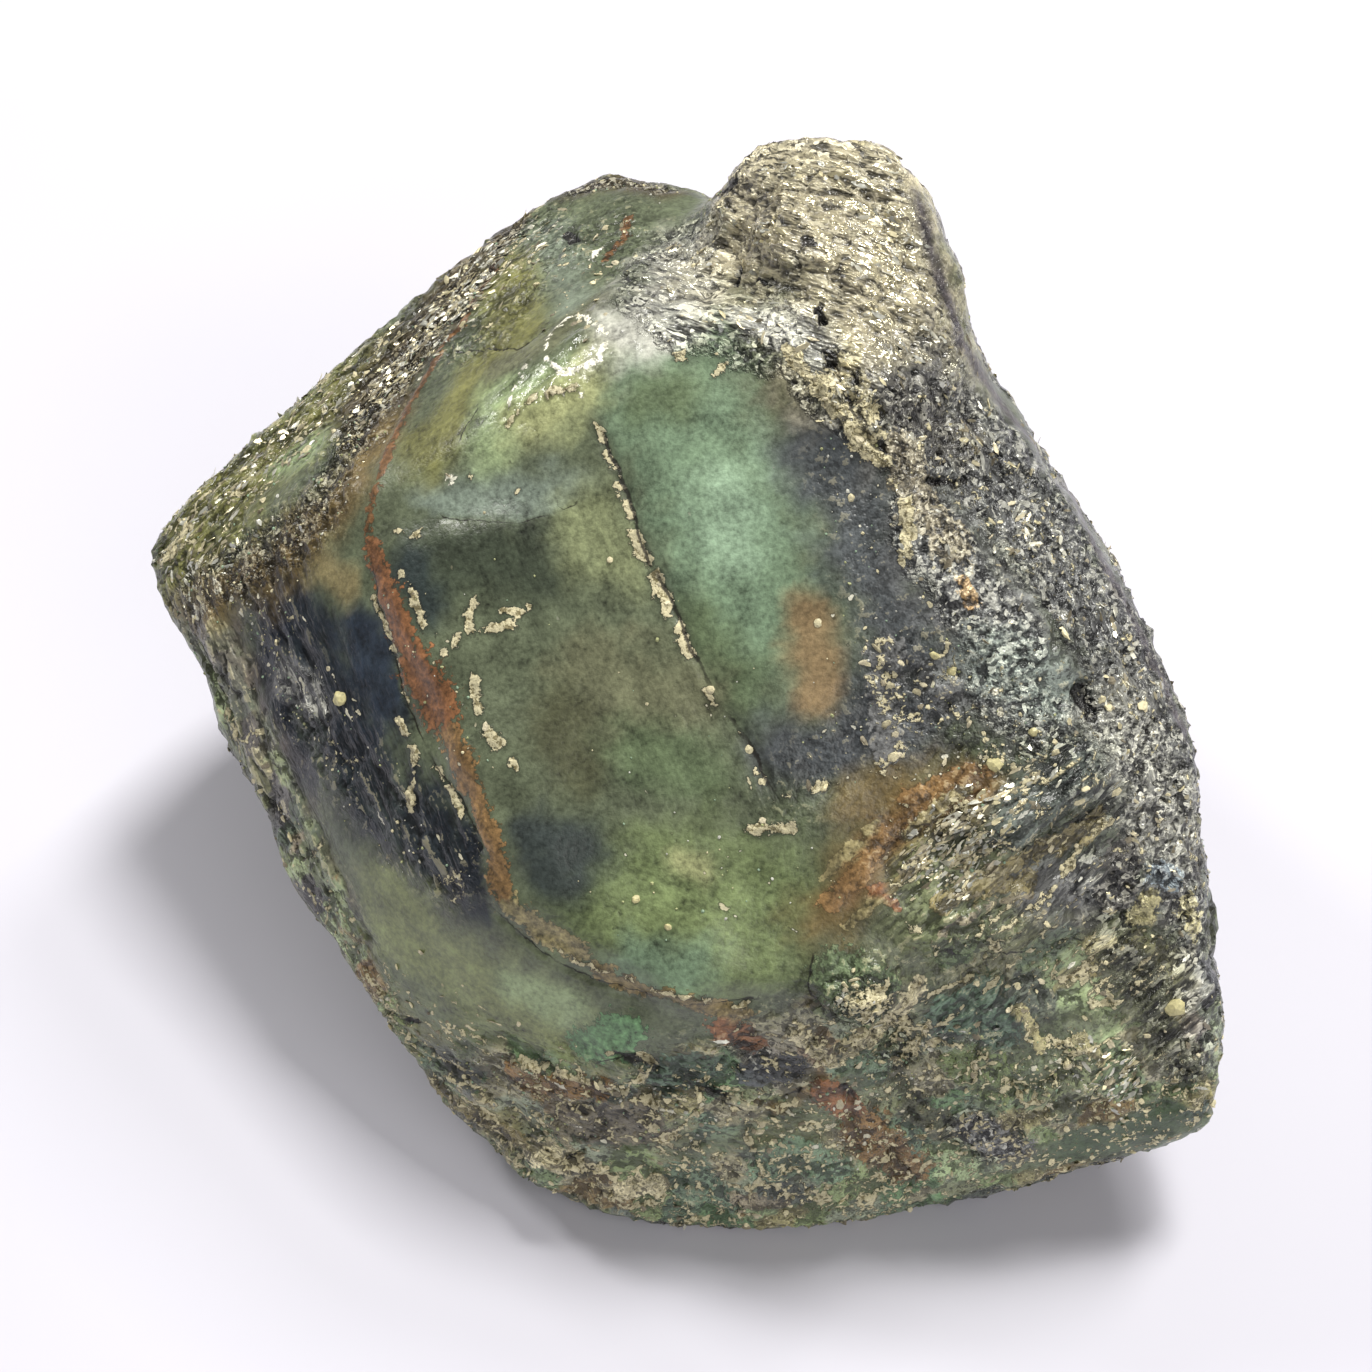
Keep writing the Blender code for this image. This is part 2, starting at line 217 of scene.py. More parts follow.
# ---- soft patches of colour, in the order they are laid: name, colour, reach and places. A last ----
# ---- pair names an edge the patch keeps to one side of: 1 for right of it going down, or above it ----
PATCHES = [
    ("face", "grey_green", 9.0, [(520, 560), (680, 620), (700, 800)]),
    ("mint patch", "mint", 4.2, [(660, 400), (710, 470), (735, 540), (745, 620)], ("main crack", 1)),
    ("mint foot", "deep_green", 2.0, [(690, 640), (730, 680)], ("main crack", 1)),
    ("mint top edge", "deep_green", 1.4, [(640, 400), (680, 390)], ("main crack", 1)),
    ("mint glow", "mint_light", 1.9, [(725, 490), (735, 545)], ("main crack", 1)),
    ("tint by the rind", "dark_olive", 1.3, [(785, 395), (810, 430)]),
    ("slate right", "slate", 2.6, [(820, 450), (855, 500), (880, 560), (900, 640), (870, 720)], ("rind", -1)),
    ("slate foot", "slate", 2.2, [(790, 750), (850, 760), (930, 700)]),
    ("brown blob", "blob", 1.55, [(809, 642), (812, 660)]),
    ("brown blob top", "blob", 1.1, [(804, 612), (806, 618)]),
    ("brown blob foot", "blob", 1.1, [(813, 688), (814, 696)]),
    ("dark shoulder", "dark_green", 2.6, [(440, 560), (520, 560), (560, 600)], ("scar", -1)),
    ("dark shoulder left", "blue_black", 1.2, [(408, 560), (425, 610)], ("scar", -1)),
    ("flake scar", "scar", 1.7, [(440, 495), (500, 500), (560, 500)], ("scar", 1)),
    ("olive light", "olive", 2.0, [(590, 520), (610, 575)], ("main crack", -1)),
    ("face middle", "grey_green", 2.0, [(560, 640), (600, 620)], ("main crack", -1)),
    ("face tan", "grey_brown", 2.3, [(590, 680), (680, 700)]),
    ("face dark", "dark_olive", 1.9, [(565, 720), (580, 760)]),
    ("face low", "deep_green", 2.0, [(640, 750), (690, 780)]),
    ("apple low", "apple", 3.2, [(600, 905), (680, 890), (760, 900), (740, 950)], ("seam", 1)),
    ("blue spot", "spot", 1.8, [(538, 846), (568, 850), (560, 874)]),
    ("mint low", "mint", 1.6, [(640, 960), (700, 965)], ("seam", 1)),
    ("yellow low", "yellow_green", 0.7, [(680, 862), (705, 866)]),
    ("brown right", "olive_brown", 1.3, [(850, 800), (890, 780)]),
    ("rust band", "dull_brown", 2.0, [(960, 790), (900, 830), (850, 880), (820, 920)]),
    ("rust band middle", "haze_brown", 0.9, [(985, 778), (930, 800), (880, 845), (850, 890)]),
    ("navy facet", "navy", 3.4, [(290, 610), (330, 700), (370, 790), (440, 850),
                                 (480, 880)], ("vein left", -1)),
    ("navy edge", "navy", 1.6, [(265, 600), (270, 660), (300, 770)], ("vein left", -1)),
    ("teal by the vein", "slate_blue", 1.8, [(365, 640), (385, 700)], ("vein left", -1)),
    ("tan cap", "tan", 1.1, [(318, 566), (346, 590)], ("vein left", -1)),
    ("grey crumbs", "schist", 1.1, [(285, 675), (315, 700)]),
    ("left strip", "strip", 2.4, [(180, 600), (215, 660), (245, 720), (275, 790), (308, 870), (350, 950)]),
    ("strip end", "sage", 2.0, [(385, 890), (410, 920)], ("seam", -1)),
    ("upper facet", "rim_green", 3.8, [(185, 530), (240, 480), (300, 430), (350, 390)]),
    ("upper facet pale", "pale_green", 1.3, [(290, 460), (320, 440)]),
    ("mica band low", "dull_brown", 2.1, [(215, 585), (255, 570), (310, 525), (350, 480), (380, 430)]),
    ("mica band high", "band_dark", 3.2, [(375, 400), (405, 350), (445, 300), (490, 250),
                                          (520, 215)], ("rust", -1)),
    ("right of the rust line", "rim_green", 2.2, [(430, 440), (470, 390), (510, 330), (510, 270)]),
    ("crest green", "pale_green", 2.0, [(490, 430), (500, 400), (550, 390)]),
    ("crest yellow", "yellow_green", 1.6, [(530, 420), (560, 400)]),
    ("blue green top", "blue_green", 1.5, [(545, 235), (560, 265), (575, 300)]),
    ("top rim", "band_dark", 1.4, TOP_RIM),
    ("top brown", "grey_brown", 1.0, [(600, 300), (560, 330), (500, 370)]),
    ("almond", "yellow_green", 1.4, [(585, 375), (600, 350)]),
    ("silver saddle", "silver", 2.6, [(690, 250), (670, 290), (640, 330)]),
    ("knob", "knob_cream", 5.2, KNOB),
    ("knob top", "knob_cream", 2.6, KNOB_TOP),
    ("band left", "schist", 2.6, [(935, 500), (965, 580), (1010, 640)]),
    ("knob foot", "silver", 2.0, [(740, 330), (790, 350)], ("rind", 1)),
    ("right band", "schist", 3.8, RIGHT_BAND),
    ("band dark", "dark_schist", 1.6, [(900, 400), (960, 440)]),
    ("band foot", "schist", 2.0, [(960, 680), (1020, 700), (1060, 705)]),
    ("band foot light", "silver", 2.2, [(1130, 720), (1155, 790), (1185, 860)]),
    ("lower right light", "ash", 1.8, [(990, 660), (1050, 690)]),
    ("right side low", "schist", 2.6, RIGHT_LOW),
    # Painted shade: a darker band along the right outline, where the stone turns away from the lamps.
    ("right outline", "slick", 0.5, [(915, 190), (938, 270), (962, 340), (1000, 400), (1040, 450),
                                     (1075, 500)]),
    ("right outline low", "slick", 0.5, [(1075, 500), (1110, 575), (1150, 650), (1185, 730)]),
    # Painted shade: a near black line on the right outline.
    ("right rim", "sooty", 0.7, [(1190, 720), (1205, 800), (1214, 900), (1216, 1000)]),
    ("ledge olive", "olive", 2.0, [(930, 880), (1000, 870)]),
    ("ledge moss", "moss", 2.2, [(920, 940), (1000, 930)]),
    ("blue lens", "lens", 1.7, [(1010, 830), (1060, 790), (1090, 770)], ("lens", 1)),
    ("ledge schist", "schist", 1.9, [(1040, 890), (1080, 890)]),
    ("right moss", "moss", 2.4, [(1100, 980), (1140, 960), (1150, 1020)]),
    ("green corner", "corner_green", 2.4, [(1080, 1145), (1140, 1125), (1190, 1100)]),
    ("foot green", "sage", 3.2, [(400, 930), (450, 965), (500, 1000), (560, 1030)], ("seam", -1)),
    ("foot pale", "pale_green", 1.5, [(520, 990), (570, 1010)], ("seam", -1)),
    ("foot left", "grey_brown", 1.8, [(400, 1020), (450, 1070)]),
    ("foot left low", "dull_brown", 1.5, [(440, 1090), (500, 1130)]),
    ("foot schist", "schist", 1.8, [(770, 1065), (800, 1055)]),
    ("foot moss", "moss", 2.6, [(780, 1150), (830, 1160)]),
    ("foot dark", "dark_schist", 1.6, [(980, 1130), (1010, 1150)]),
]

# ---- smaller patches with sharp ragged edges, laid over the soft ones: half widths ----
CHIPS = [
    ("vein top", "rust", 0.55, [(372, 545), (384, 585)]),
    ("vein upper", "rust", 0.85, [(388, 595), (404, 638)]),
    ("vein middle", "rust", 1.25, [(418, 665), (440, 708)]),
    ("vein low", "haze_brown", 0.8, [(452, 740), (470, 785)]),
    ("vein foot", "haze_brown", 0.6, [(480, 805), (496, 850), (502, 890)]),
    # Painted highlight: a thin near white line on the flake scar's top edge.
    ("scar gleam", "gleam", 0.18, [(440, 482), (452, 478)]),
    ("rust line", "rust_line", 0.30, [(499, 259), (479, 291), (462, 322), (443, 346), (428, 375), (414, 400),
                                 (402, 424), (385, 460), (370, 509), (368, 528)]),
    ("top orange", "rust_line", 0.28, [(630, 218), (622, 240), (608, 258)]),
    ("top white", "gleam", 0.16, [(589, 262), (598, 250), (606, 246)]),
    # Painted highlights: thin near white lines along the almond's outline and the crest, where glossy ridges
    # catch the light.
    ("almond top", "gleam", 0.22, [(547, 345), (555, 328), (574, 316), (592, 322), (604, 333)]),
    ("almond foot", "gleam", 0.22, [(545, 362), (562, 372), (580, 368), (597, 359), (606, 344)]),
    ("crest gleam", "gleam", 0.15, [(507, 409), (516, 382), (532, 359)]),
    ("crest gleam low", "gleam", 0.18, [(540, 392), (562, 388), (585, 397)]),
    ("chunk top", "cream", 0.40, [(846, 350), (856, 360)]),
    ("chunk high", "cream", 0.55, [(830, 378), (838, 390)]),
    ("chunk right", "cream", 0.40, [(860, 384), (865, 396)]),
    ("chunk low", "cream", 0.60, [(848, 416), (866, 420)]),
    ("chunk foot", "cream", 0.35, [(868, 438), (873, 452)]),
    ("band beige", "beige", 1.1, [(905, 455), (925, 510), (955, 545)]),
    ("band orange", "orange", 0.4, [(963, 585), (974, 602)]),
    ("grey edge", "schist", 0.8, [(888, 650), (884, 700), (888, 750)]),
    ("seam tan", "tan", 0.7, [(508, 902), (545, 930), (580, 950)]),
    ("seam brown", "olive_brown", 0.5, [(600, 972), (650, 990), (700, 1005), (745, 1012)]),
    ("rust spot", "rust", 0.35, [(875, 888), (895, 905)]),
    ("rust stripe", "haze_brown", 0.4, [(905, 800), (950, 778), (985, 772)]),
    ("rust stripe low", "haze_brown", 0.5, [(830, 905), (862, 865), (885, 835)]),
    ("tan streak", "tan", 0.3, [(905, 835), (935, 808), (965, 790)]),
    ("tan streak low", "tan", 0.3, [(850, 925), (890, 890), (925, 860)]),
    ("tan streak high", "tan", 0.25, [(820, 880), (850, 850), (880, 820)]),
    ("cream streak", "beige", 0.2, [(900, 870), (945, 835), (985, 805)]),
    ("cream streak low", "beige", 0.2, [(940, 935), (985, 905), (1030, 895)]),
    ("ledge tan", "tan", 0.6, [(1000, 865), (1060, 845), (1100, 820)]),
    ("ledge tan low", "tan", 0.5, [(940, 905), (985, 885), (1030, 880)]),
    ("ledge dark", "dark_schist", 1.0, [(1125, 855), (1115, 895)]),
    ("pale blue", "sky", 0.6, [(1158, 872), (1174, 882)]),
    ("yellow patch", "yellow", 0.45, [(1090, 945), (1112, 941)]),
    ("yellow patch right", "yellow", 0.55, [(1138, 918), (1150, 900)]),
    ("side patch", "yellow", 0.55, [(1188, 905), (1198, 930)]),
    ("lobe", "deep_green", 1.6, [(845, 980), (872, 1000)]),
    ("lobe cream", "cream", 0.6, [(852, 1048), (885, 1022), (915, 990)]),
    ("teal patch", "teal", 1.3, [(950, 1022), (985, 1000), (1000, 1030)]),
    ("apple patch", "apple", 1.2, [(965, 1060), (1000, 1085)]),
    ("flakes", "yellow", 0.45, [(1018, 1008), (1040, 1045)]),
    ("flakes right", "yellow", 0.45, [(1078, 1040), (1102, 1060)]),
    ("foot emerald", "emerald_green", 1.1, [(590, 1045), (625, 1030)]),
    ("foot ledge", "tan", 0.6, [(420, 1075), (470, 1110), (520, 1140)]),
    ("foot rust", "haze_brown", 0.8, [(515, 1078), (560, 1085), (600, 1090)]),
    ("foot lens", "lens_grey", 1.6, [(575, 1118), (640, 1125)]),
    ("foot teal", "teal", 1.2, [(665, 1080), (700, 1068)]),
    ("foot brown", "rust", 0.8, [(722, 1028), (750, 1042)]),
    ("foot crumbs", "cream", 0.6, [(800, 1038), (832, 1060)]),
    ("dark lens", "slate", 0.9, [(755, 1072), (790, 1068)]),
    ("foot deep rust", "rust", 0.7, [(822, 1090), (850, 1112)]),
    ("foot orange", "haze_brown", 1.3, [(862, 1128), (888, 1150), (908, 1168)]),
    ("light chip", "mint", 1.2, [(770, 1170), (800, 1150), (832, 1172)]),
    ("foot cream", "cream", 0.85, [(533, 1152), (560, 1160), (582, 1168)]),
    ("foot cream right", "cream", 0.75, [(610, 1190), (655, 1186)]),
    # Painted shade: a small hole beside the foot's pits, painted dark.
    ("dark hole", "navy", 0.3, [(588, 1162), (592, 1168)]),
    ("foot grey", "schist", 1.1, [(975, 1130), (1015, 1150)]),
    ("foot dark", "dim", 0.9, [(915, 1108), (945, 1128)]),
    ("right dark", "dim", 1.5, [(1125, 970), (1150, 1000)]),
    ("right dark low", "dim", 1.2, [(1160, 1040), (1185, 1065)]),
    ("foot low light", "beige", 0.8, [(742, 1202), (775, 1205)]),
]

# ---- small pits, painted near black as the shade in them: half width, and places ----
PITS = [
    ("knob left", 0.30, [(739, 264), (737, 282)]),
    ("knob middle", 0.34, [(805, 239), (813, 243)]),
    ("knob shelf", 0.26, [(758, 279), (770, 281)]),
    ("knob foot", 0.30, [(819, 310), (823, 320)]),
    ("knob left end", 0.45, [(717, 192), (731, 180)]),
    ("rind high", 0.34, [(829, 352), (832, 362)]),
    ("rind middle", 0.28, [(852, 372), (855, 382)]),
    ("rind low", 0.32, [(845, 396), (850, 394)]),
    ("rind right", 0.30, [(877, 408), (880, 418)]),
    ("rind foot", 0.32, [(860, 433), (864, 436)]),
    ("rind end", 0.28, [(881, 446), (885, 452)]),
    ("band", 0.30, [(934, 479), (960, 481)]),
    ("band low", 0.34, [(1050, 600), (1060, 616)]),
    ("lower right", 0.55, [(1080, 692), (1090, 708)]),
    ("blue green top", 0.40, [(566, 232), (573, 240)]),
    ("left foot hole", 0.34, [(568, 1158), (577, 1160)]),
    ("left foot hole low", 0.26, [(586, 1172), (592, 1176)]),
    ("strip", 0.20, [(208, 662), (214, 678), (223, 697)]),
    ("strip low", 0.18, [(262, 790), (270, 812)]),
    ("foot left", 0.22, [(386, 1010), (402, 1018), (418, 1022)]),
    ("foot black crack", 0.30, [(615, 1056), (640, 1060), (655, 1066)]),
    ("foot crack right", 0.24, [(700, 1092), (724, 1098)]),
    ("foot rust hole", 0.26, [(846, 1088), (852, 1100)]),
    ("teal edge", 0.24, [(888, 1010), (905, 1020)]),
    ("ledge", 0.22, [(938, 956), (962, 958)]),
]

# ---- how much of each kind of ground a place has: density, reach and places ----
SCHIST = [
    ("knob", 0.85, 5.2, KNOB),
    ("knob top", 0.85, 2.6, KNOB_TOP),
    ("band left", 0.85, 2.4, [(930, 520), (965, 580), (1010, 640)]),
    ("saddle", 0.8, 2.8, [(690, 240), (655, 290), (700, 320), (740, 330)]),
    ("rind", 1.0, 2.0, [(800, 350), (850, 400), (905, 440)]),
    ("band", 1.0, 3.6, RIGHT_BAND),
    ("band low", 0.7, 1.8, RIGHT_LOW),
    ("outline", 0.25, 1.2, [(915, 190), (962, 340), (1040, 450), (1110, 575), (1185, 730)]),
    ("patches low right", 0.7, 1.6, [(1085, 870), (1120, 900)]),
    ("patches foot", 0.8, 1.4, [(960, 1130), (1000, 1150)]),
    ("ledges", 0.6, 2.2, [(1100, 800), (1050, 720), (1000, 690)]),
    ("mica band high", 0.45, 2.4, [(400, 375), (425, 335), (465, 285), (505, 235)]),
    ("mica band", 0.5, 2.1, [(195, 590), (250, 560), (300, 525), (353, 438), (390, 375), (425, 339),
                             (462, 293), (500, 240)]),
    ("top rim", 0.7, 1.2, TOP_RIM),
    ("right low", 0.5, 1.6, [(1100, 940), (1150, 980), (1180, 1050)]),
    ("foot crumbs", 0.8, 1.2, [(850, 1015), (880, 1030), (905, 1055)]),
    ("foot grains", 0.8, 1.2, [(968, 1125), (1010, 1150)]),
    ("crumbs by the lens", 0.6, 0.9, [(735, 1045), (760, 1060)]),
    ("grey crumb patch", 0.8, 1.3, [(285, 675), (315, 700)]),
    ("ledge dark", 0.7, 1.3, [(1125, 870), (1118, 920)]),
]
CRUST = [
    ("whole foot", 0.5, 4.2, [(480, 1100), (600, 1130), (740, 1100), (860, 1070), (960, 1080), (880, 1150)]),
    ("whole foot low", 0.52, 3.6, [(560, 1180), (700, 1200), (840, 1190), (980, 1140), (1050, 1080)]),
    ("lower right", 0.44, 4.0, [(960, 700), (1050, 760), (1080, 860), (1000, 950), (1130, 960)]),
    ("upper left", 0.42, 3.6, [(190, 530), (280, 460), (380, 370), (470, 280)]),
    ("top", 0.36, 3.0, [(540, 260), (600, 240), (560, 330)]),
    ("band", 0.38, 4.0, [(930, 430), (1050, 560), (1140, 720), (1190, 860)]),
    ("slate low", 0.30, 2.4, [(830, 760), (900, 720), (890, 640)]),
    ("navy", 0.16, 2.6, [(280, 640), (320, 720), (400, 820)]),
    ("rind chunks", 0.9, 1.3, [(835, 380), (850, 400), (868, 440)]),
    ("band crust", 0.3, 1.8, [(905, 455), (925, 510), (955, 560)]),
    ("grey edge", 0.55, 1.2, [(888, 640), (884, 700), (888, 760)]),
    ("foot crumbs", 0.7, 1.3, [(855, 1000), (900, 1020), (905, 1055)]),
    ("foot flakes", 0.6, 1.0, [(1020, 1010), (1035, 1045), (1090, 1050)]),
    ("foot grains", 0.6, 1.3, [(970, 1120), (1020, 1160)]),
    ("foot tan", 0.6, 1.2, [(805, 1035), (840, 1060)]),
    ("left foot", 0.7, 1.1, [(535, 1150), (575, 1165), (620, 1175), (655, 1190)]),
    ("left strip", 0.3, 1.6, [(175, 600), (235, 720), (262, 800), (300, 880), (345, 950)]),
    ("left ledge", 0.6, 0.8, [(430, 1080), (475, 1112), (520, 1142)]),
    ("low ledge", 0.5, 1.0, [(930, 830), (980, 860)]),
    ("saddle", 0.4, 1.6, [(690, 240), (720, 270)]),
    ("upper facet", 0.4, 1.2, UPPER_FACET),
    ("mica band", 0.5, 1.3, [(350, 440), (400, 370), (440, 320)]),
]
SPECKS = [
    ("navy facet", 0.45, 3.2, [(285, 620), (320, 700), (360, 780), (430, 850)]),
    ("slate right", 0.5, 2.6, [(830, 470), (860, 560), (880, 660), (850, 740)]),
    ("face left", 0.5, 2.0, [(400, 600), (440, 700), (470, 780)]),
    ("lower right", 0.7, 3.0, [(950, 680), (1000, 740), (950, 850)]),
    ("foot", 0.8, 3.0, [(480, 1080), (600, 1110), (720, 1120), (850, 1130), (950, 1060), (1100, 1100)]),
    ("apple low", 0.45, 3.0, [(620, 900), (700, 880), (780, 880)]),
    ("face", 0.22, 6.0, FACE),
    ("upper left", 0.34, 4.4, [(185, 540), (240, 480), (330, 400), (420, 330), (520, 250)]),
    ("mica band", 0.7, 2.4, [(195, 590), (250, 560), (300, 525), (353, 450), (390, 385), (425, 339),
                             (490, 255)]),
    ("top rim", 0.8, 1.4, TOP_RIM),
    ("navy left", 0.9, 1.8, [(250, 600), (265, 640), (290, 700)]),
    ("left strip", 0.4, 2.0, [(175, 600), (235, 720), (262, 800), (345, 950)]),
    ("left foot", 0.7, 2.0, [(375, 1000), (420, 1050), (480, 1100)]),
    ("rind", 0.6, 1.6, [(860, 460), (900, 560), (960, 640)]),
]
SHINE = [
    ("knob", 1.0, 4.6, [(780, 220), (840, 220), (870, 290), (910, 340)]),
    ("crest", 1.0, 2.0, [(520, 400), (560, 375), (600, 320)]),
    ("saddle", 0.8, 2.6, [(700, 240), (660, 290), (620, 330)]),
    ("band", 0.45, 3.4, [(960, 440), (1060, 560), (1130, 680)]),
    ("mica band", 0.6, 1.5, [(345, 440), (400, 370), (440, 320)]),
    ("upper facet", 0.5, 2.4, UPPER_FACET),
]
GRIT = [
    ("upper facet", 0.85, 5.0, [(175, 540), (240, 470), (330, 390), (420, 310), (500, 240)]),
    ("mica band", 1.0, 2.6, [(195, 590), (300, 530), (353, 438), (419, 339), (500, 250)]),
    ("top", 0.7, 3.2, [(480, 330), (540, 260), (600, 230), (650, 260)]),
    ("knob", 0.9, 6.0, [(760, 220), (840, 200), (870, 280), (900, 340)]),
    ("band", 1.0, 5.0, [(930, 420), (1060, 560), (1150, 700), (1190, 830), (1200, 960), (1200, 1060)]),
    ("lower right", 0.9, 4.5, [(960, 690), (1050, 720), (1080, 840), (950, 860), (1000, 960), (1120, 960)]),
    ("foot", 1.0, 4.0, [(520, 1090), (640, 1120), (740, 1080), (860, 1020), (960, 1060), (880, 1140)]),
    ("foot low", 1.0, 4.0, [(460, 1090), (560, 1170), (700, 1190), (820, 1190), (980, 1140), (1120, 1080)]),
    ("foot left", 0.9, 2.2, [(372, 985), (400, 1035), (450, 1075)]),
    ("left strip", 0.95, 3.2, [(175, 590), (225, 690), (262, 770), (300, 860), (350, 960)]),
    ("navy facet", 0.6, 3.0, [(270, 620), (310, 720), (390, 810), (440, 860)]),
    ("slate", 0.45, 2.4, [(850, 460), (890, 600), (880, 720), (800, 790)]),
]
SMOOTH = [
    ("face", 1.0, 5.0, [(500, 570), (620, 520), (680, 600), (640, 740), (560, 700)]),
    ("mint", 1.0, 4.4, [(680, 430), (730, 520), (740, 620)]),
    ("blob", 0.8, 1.8, [(806, 608), (812, 690)]),
    ("apple", 0.8, 3.6, [(600, 900), (700, 900), (760, 940)]),
    ("foot green", 0.5, 2.0, [(500, 1000), (600, 1040)]),
    ("corner", 0.7, 1.5, [(1090, 1140), (1160, 1120)]),
    ("right outline", 0.55, 0.8, [(915, 180), (938, 270), (962, 340), (1000, 400), (1040, 450), (1075, 500),
                                 (1110, 575), (1150, 650), (1185, 730)]),
]
# The three ways the stone is drawn out: the ends of a line each, then strength, reach and places.
WAYS = {
    "down": [(603, 434), (759, 760)],
    "up": [(160, 540), (350, 370)],
    "along": [(740, 200), (900, 250)],
}
DRAWN = {
    "down": [
        ("face", 0.5, 6.0, FACE),
        ("navy facet", 0.9, 3.4, [(290, 620), (350, 690), (420, 830)]),
        ("left strip", 1.0, 3.2, [(185, 600), (225, 680), (262, 760), (300, 850), (350, 950)]),
        ("band", 0.3, 4.0, [(940, 430), (1050, 560), (1130, 700), (1190, 860)]),
    ],
    "up": [
        ("upper facet", 1.0, 4.2, [(185, 530), (240, 480), (340, 390), (440, 320), (500, 250)]),
        ("crest", 0.6, 2.4, [(440, 440), (500, 400), (560, 330)]),
        ("flow", 1.0, 3.0, [(930, 890), (1010, 840), (1080, 800), (1040, 900)]),
        ("right side", 0.8, 2.6, [(1130, 1060), (1180, 1000), (1100, 960)]),
        ("teal patch", 0.7, 1.8, [(940, 1010), (1000, 990)]),
    ],
    "along": [
        ("knob", 0.8, 5.5, [(770, 220), (840, 200), (880, 300)]),
        ("saddle", 0.8, 2.6, [(650, 280), (720, 310)]),
        ("foot", 0.8, 4.5, [(440, 1040), (560, 1110), (660, 1120), (760, 1080)]),
        ("apple", 0.5, 3.0, [(620, 900), (760, 940)]),
    ],
}

# ---- cracks: width, depth, and the line ----
CRACKS = [
    ("main crack", 0.17, 0.22, [(601, 425), (609, 452), (620, 473), (626, 493), (633, 513), (636, 534),
                                (645, 556), (657, 575), (670, 600), (677, 612), (686, 640), (701, 665),
                                (712, 690), (722, 708), (740, 732), (752, 750), (768, 784)]),
    ("seam", 0.07, 0.20, [(490, 905), (540, 952), (570, 968), (593, 979), (615, 984), (650, 995),
                          (680, 1005), (750, 1000)]),
    ("crest crack", 0.09, 0.12, [(459, 351), (490, 347), (517, 349), (536, 336)]),
    ("vein left edge", 0.09, 0.16, [(372, 560), (378, 600), (392, 640), (402, 690), (415, 725), (440, 775),
                                    (462, 800), (482, 850)]),
    ("scar edge", 0.05, 0.10, [(444, 517), (480, 521), (518, 523), (555, 512), (570, 506)]),
    ("lens edge", 0.09, 0.16, [(983, 856), (1018, 851), (1041, 842), (1070, 824), (1100, 817)]),
    ("low crack", 0.10, 0.16, [(937, 957), (963, 958), (1018, 955), (1050, 945), (1075, 941)]),
    ("lobe edge", 0.09, 0.18, [(812, 960), (806, 990), (822, 1015), (855, 1027), (890, 1010)]),
    ("foot crack", 0.10, 0.18, [(690, 1085), (720, 1105), (750, 1112), (790, 1098), (812, 1084)]),
    ("foot left crack", 0.10, 0.16, [(600, 1062), (625, 1058), (661, 1070)]),
    ("rind hole", 0.20, 0.30, [(831, 357), (846, 394), (863, 433)]),
    ("band hole", 0.20, 0.25, [(933, 479), (964, 481)]),
    ("side crack", 0.10, 0.10, [(1151, 727), (1144, 769)]),
    ("crest line", 0.08, 0.06, [(461, 437), (466, 425), (474, 414)]),
]

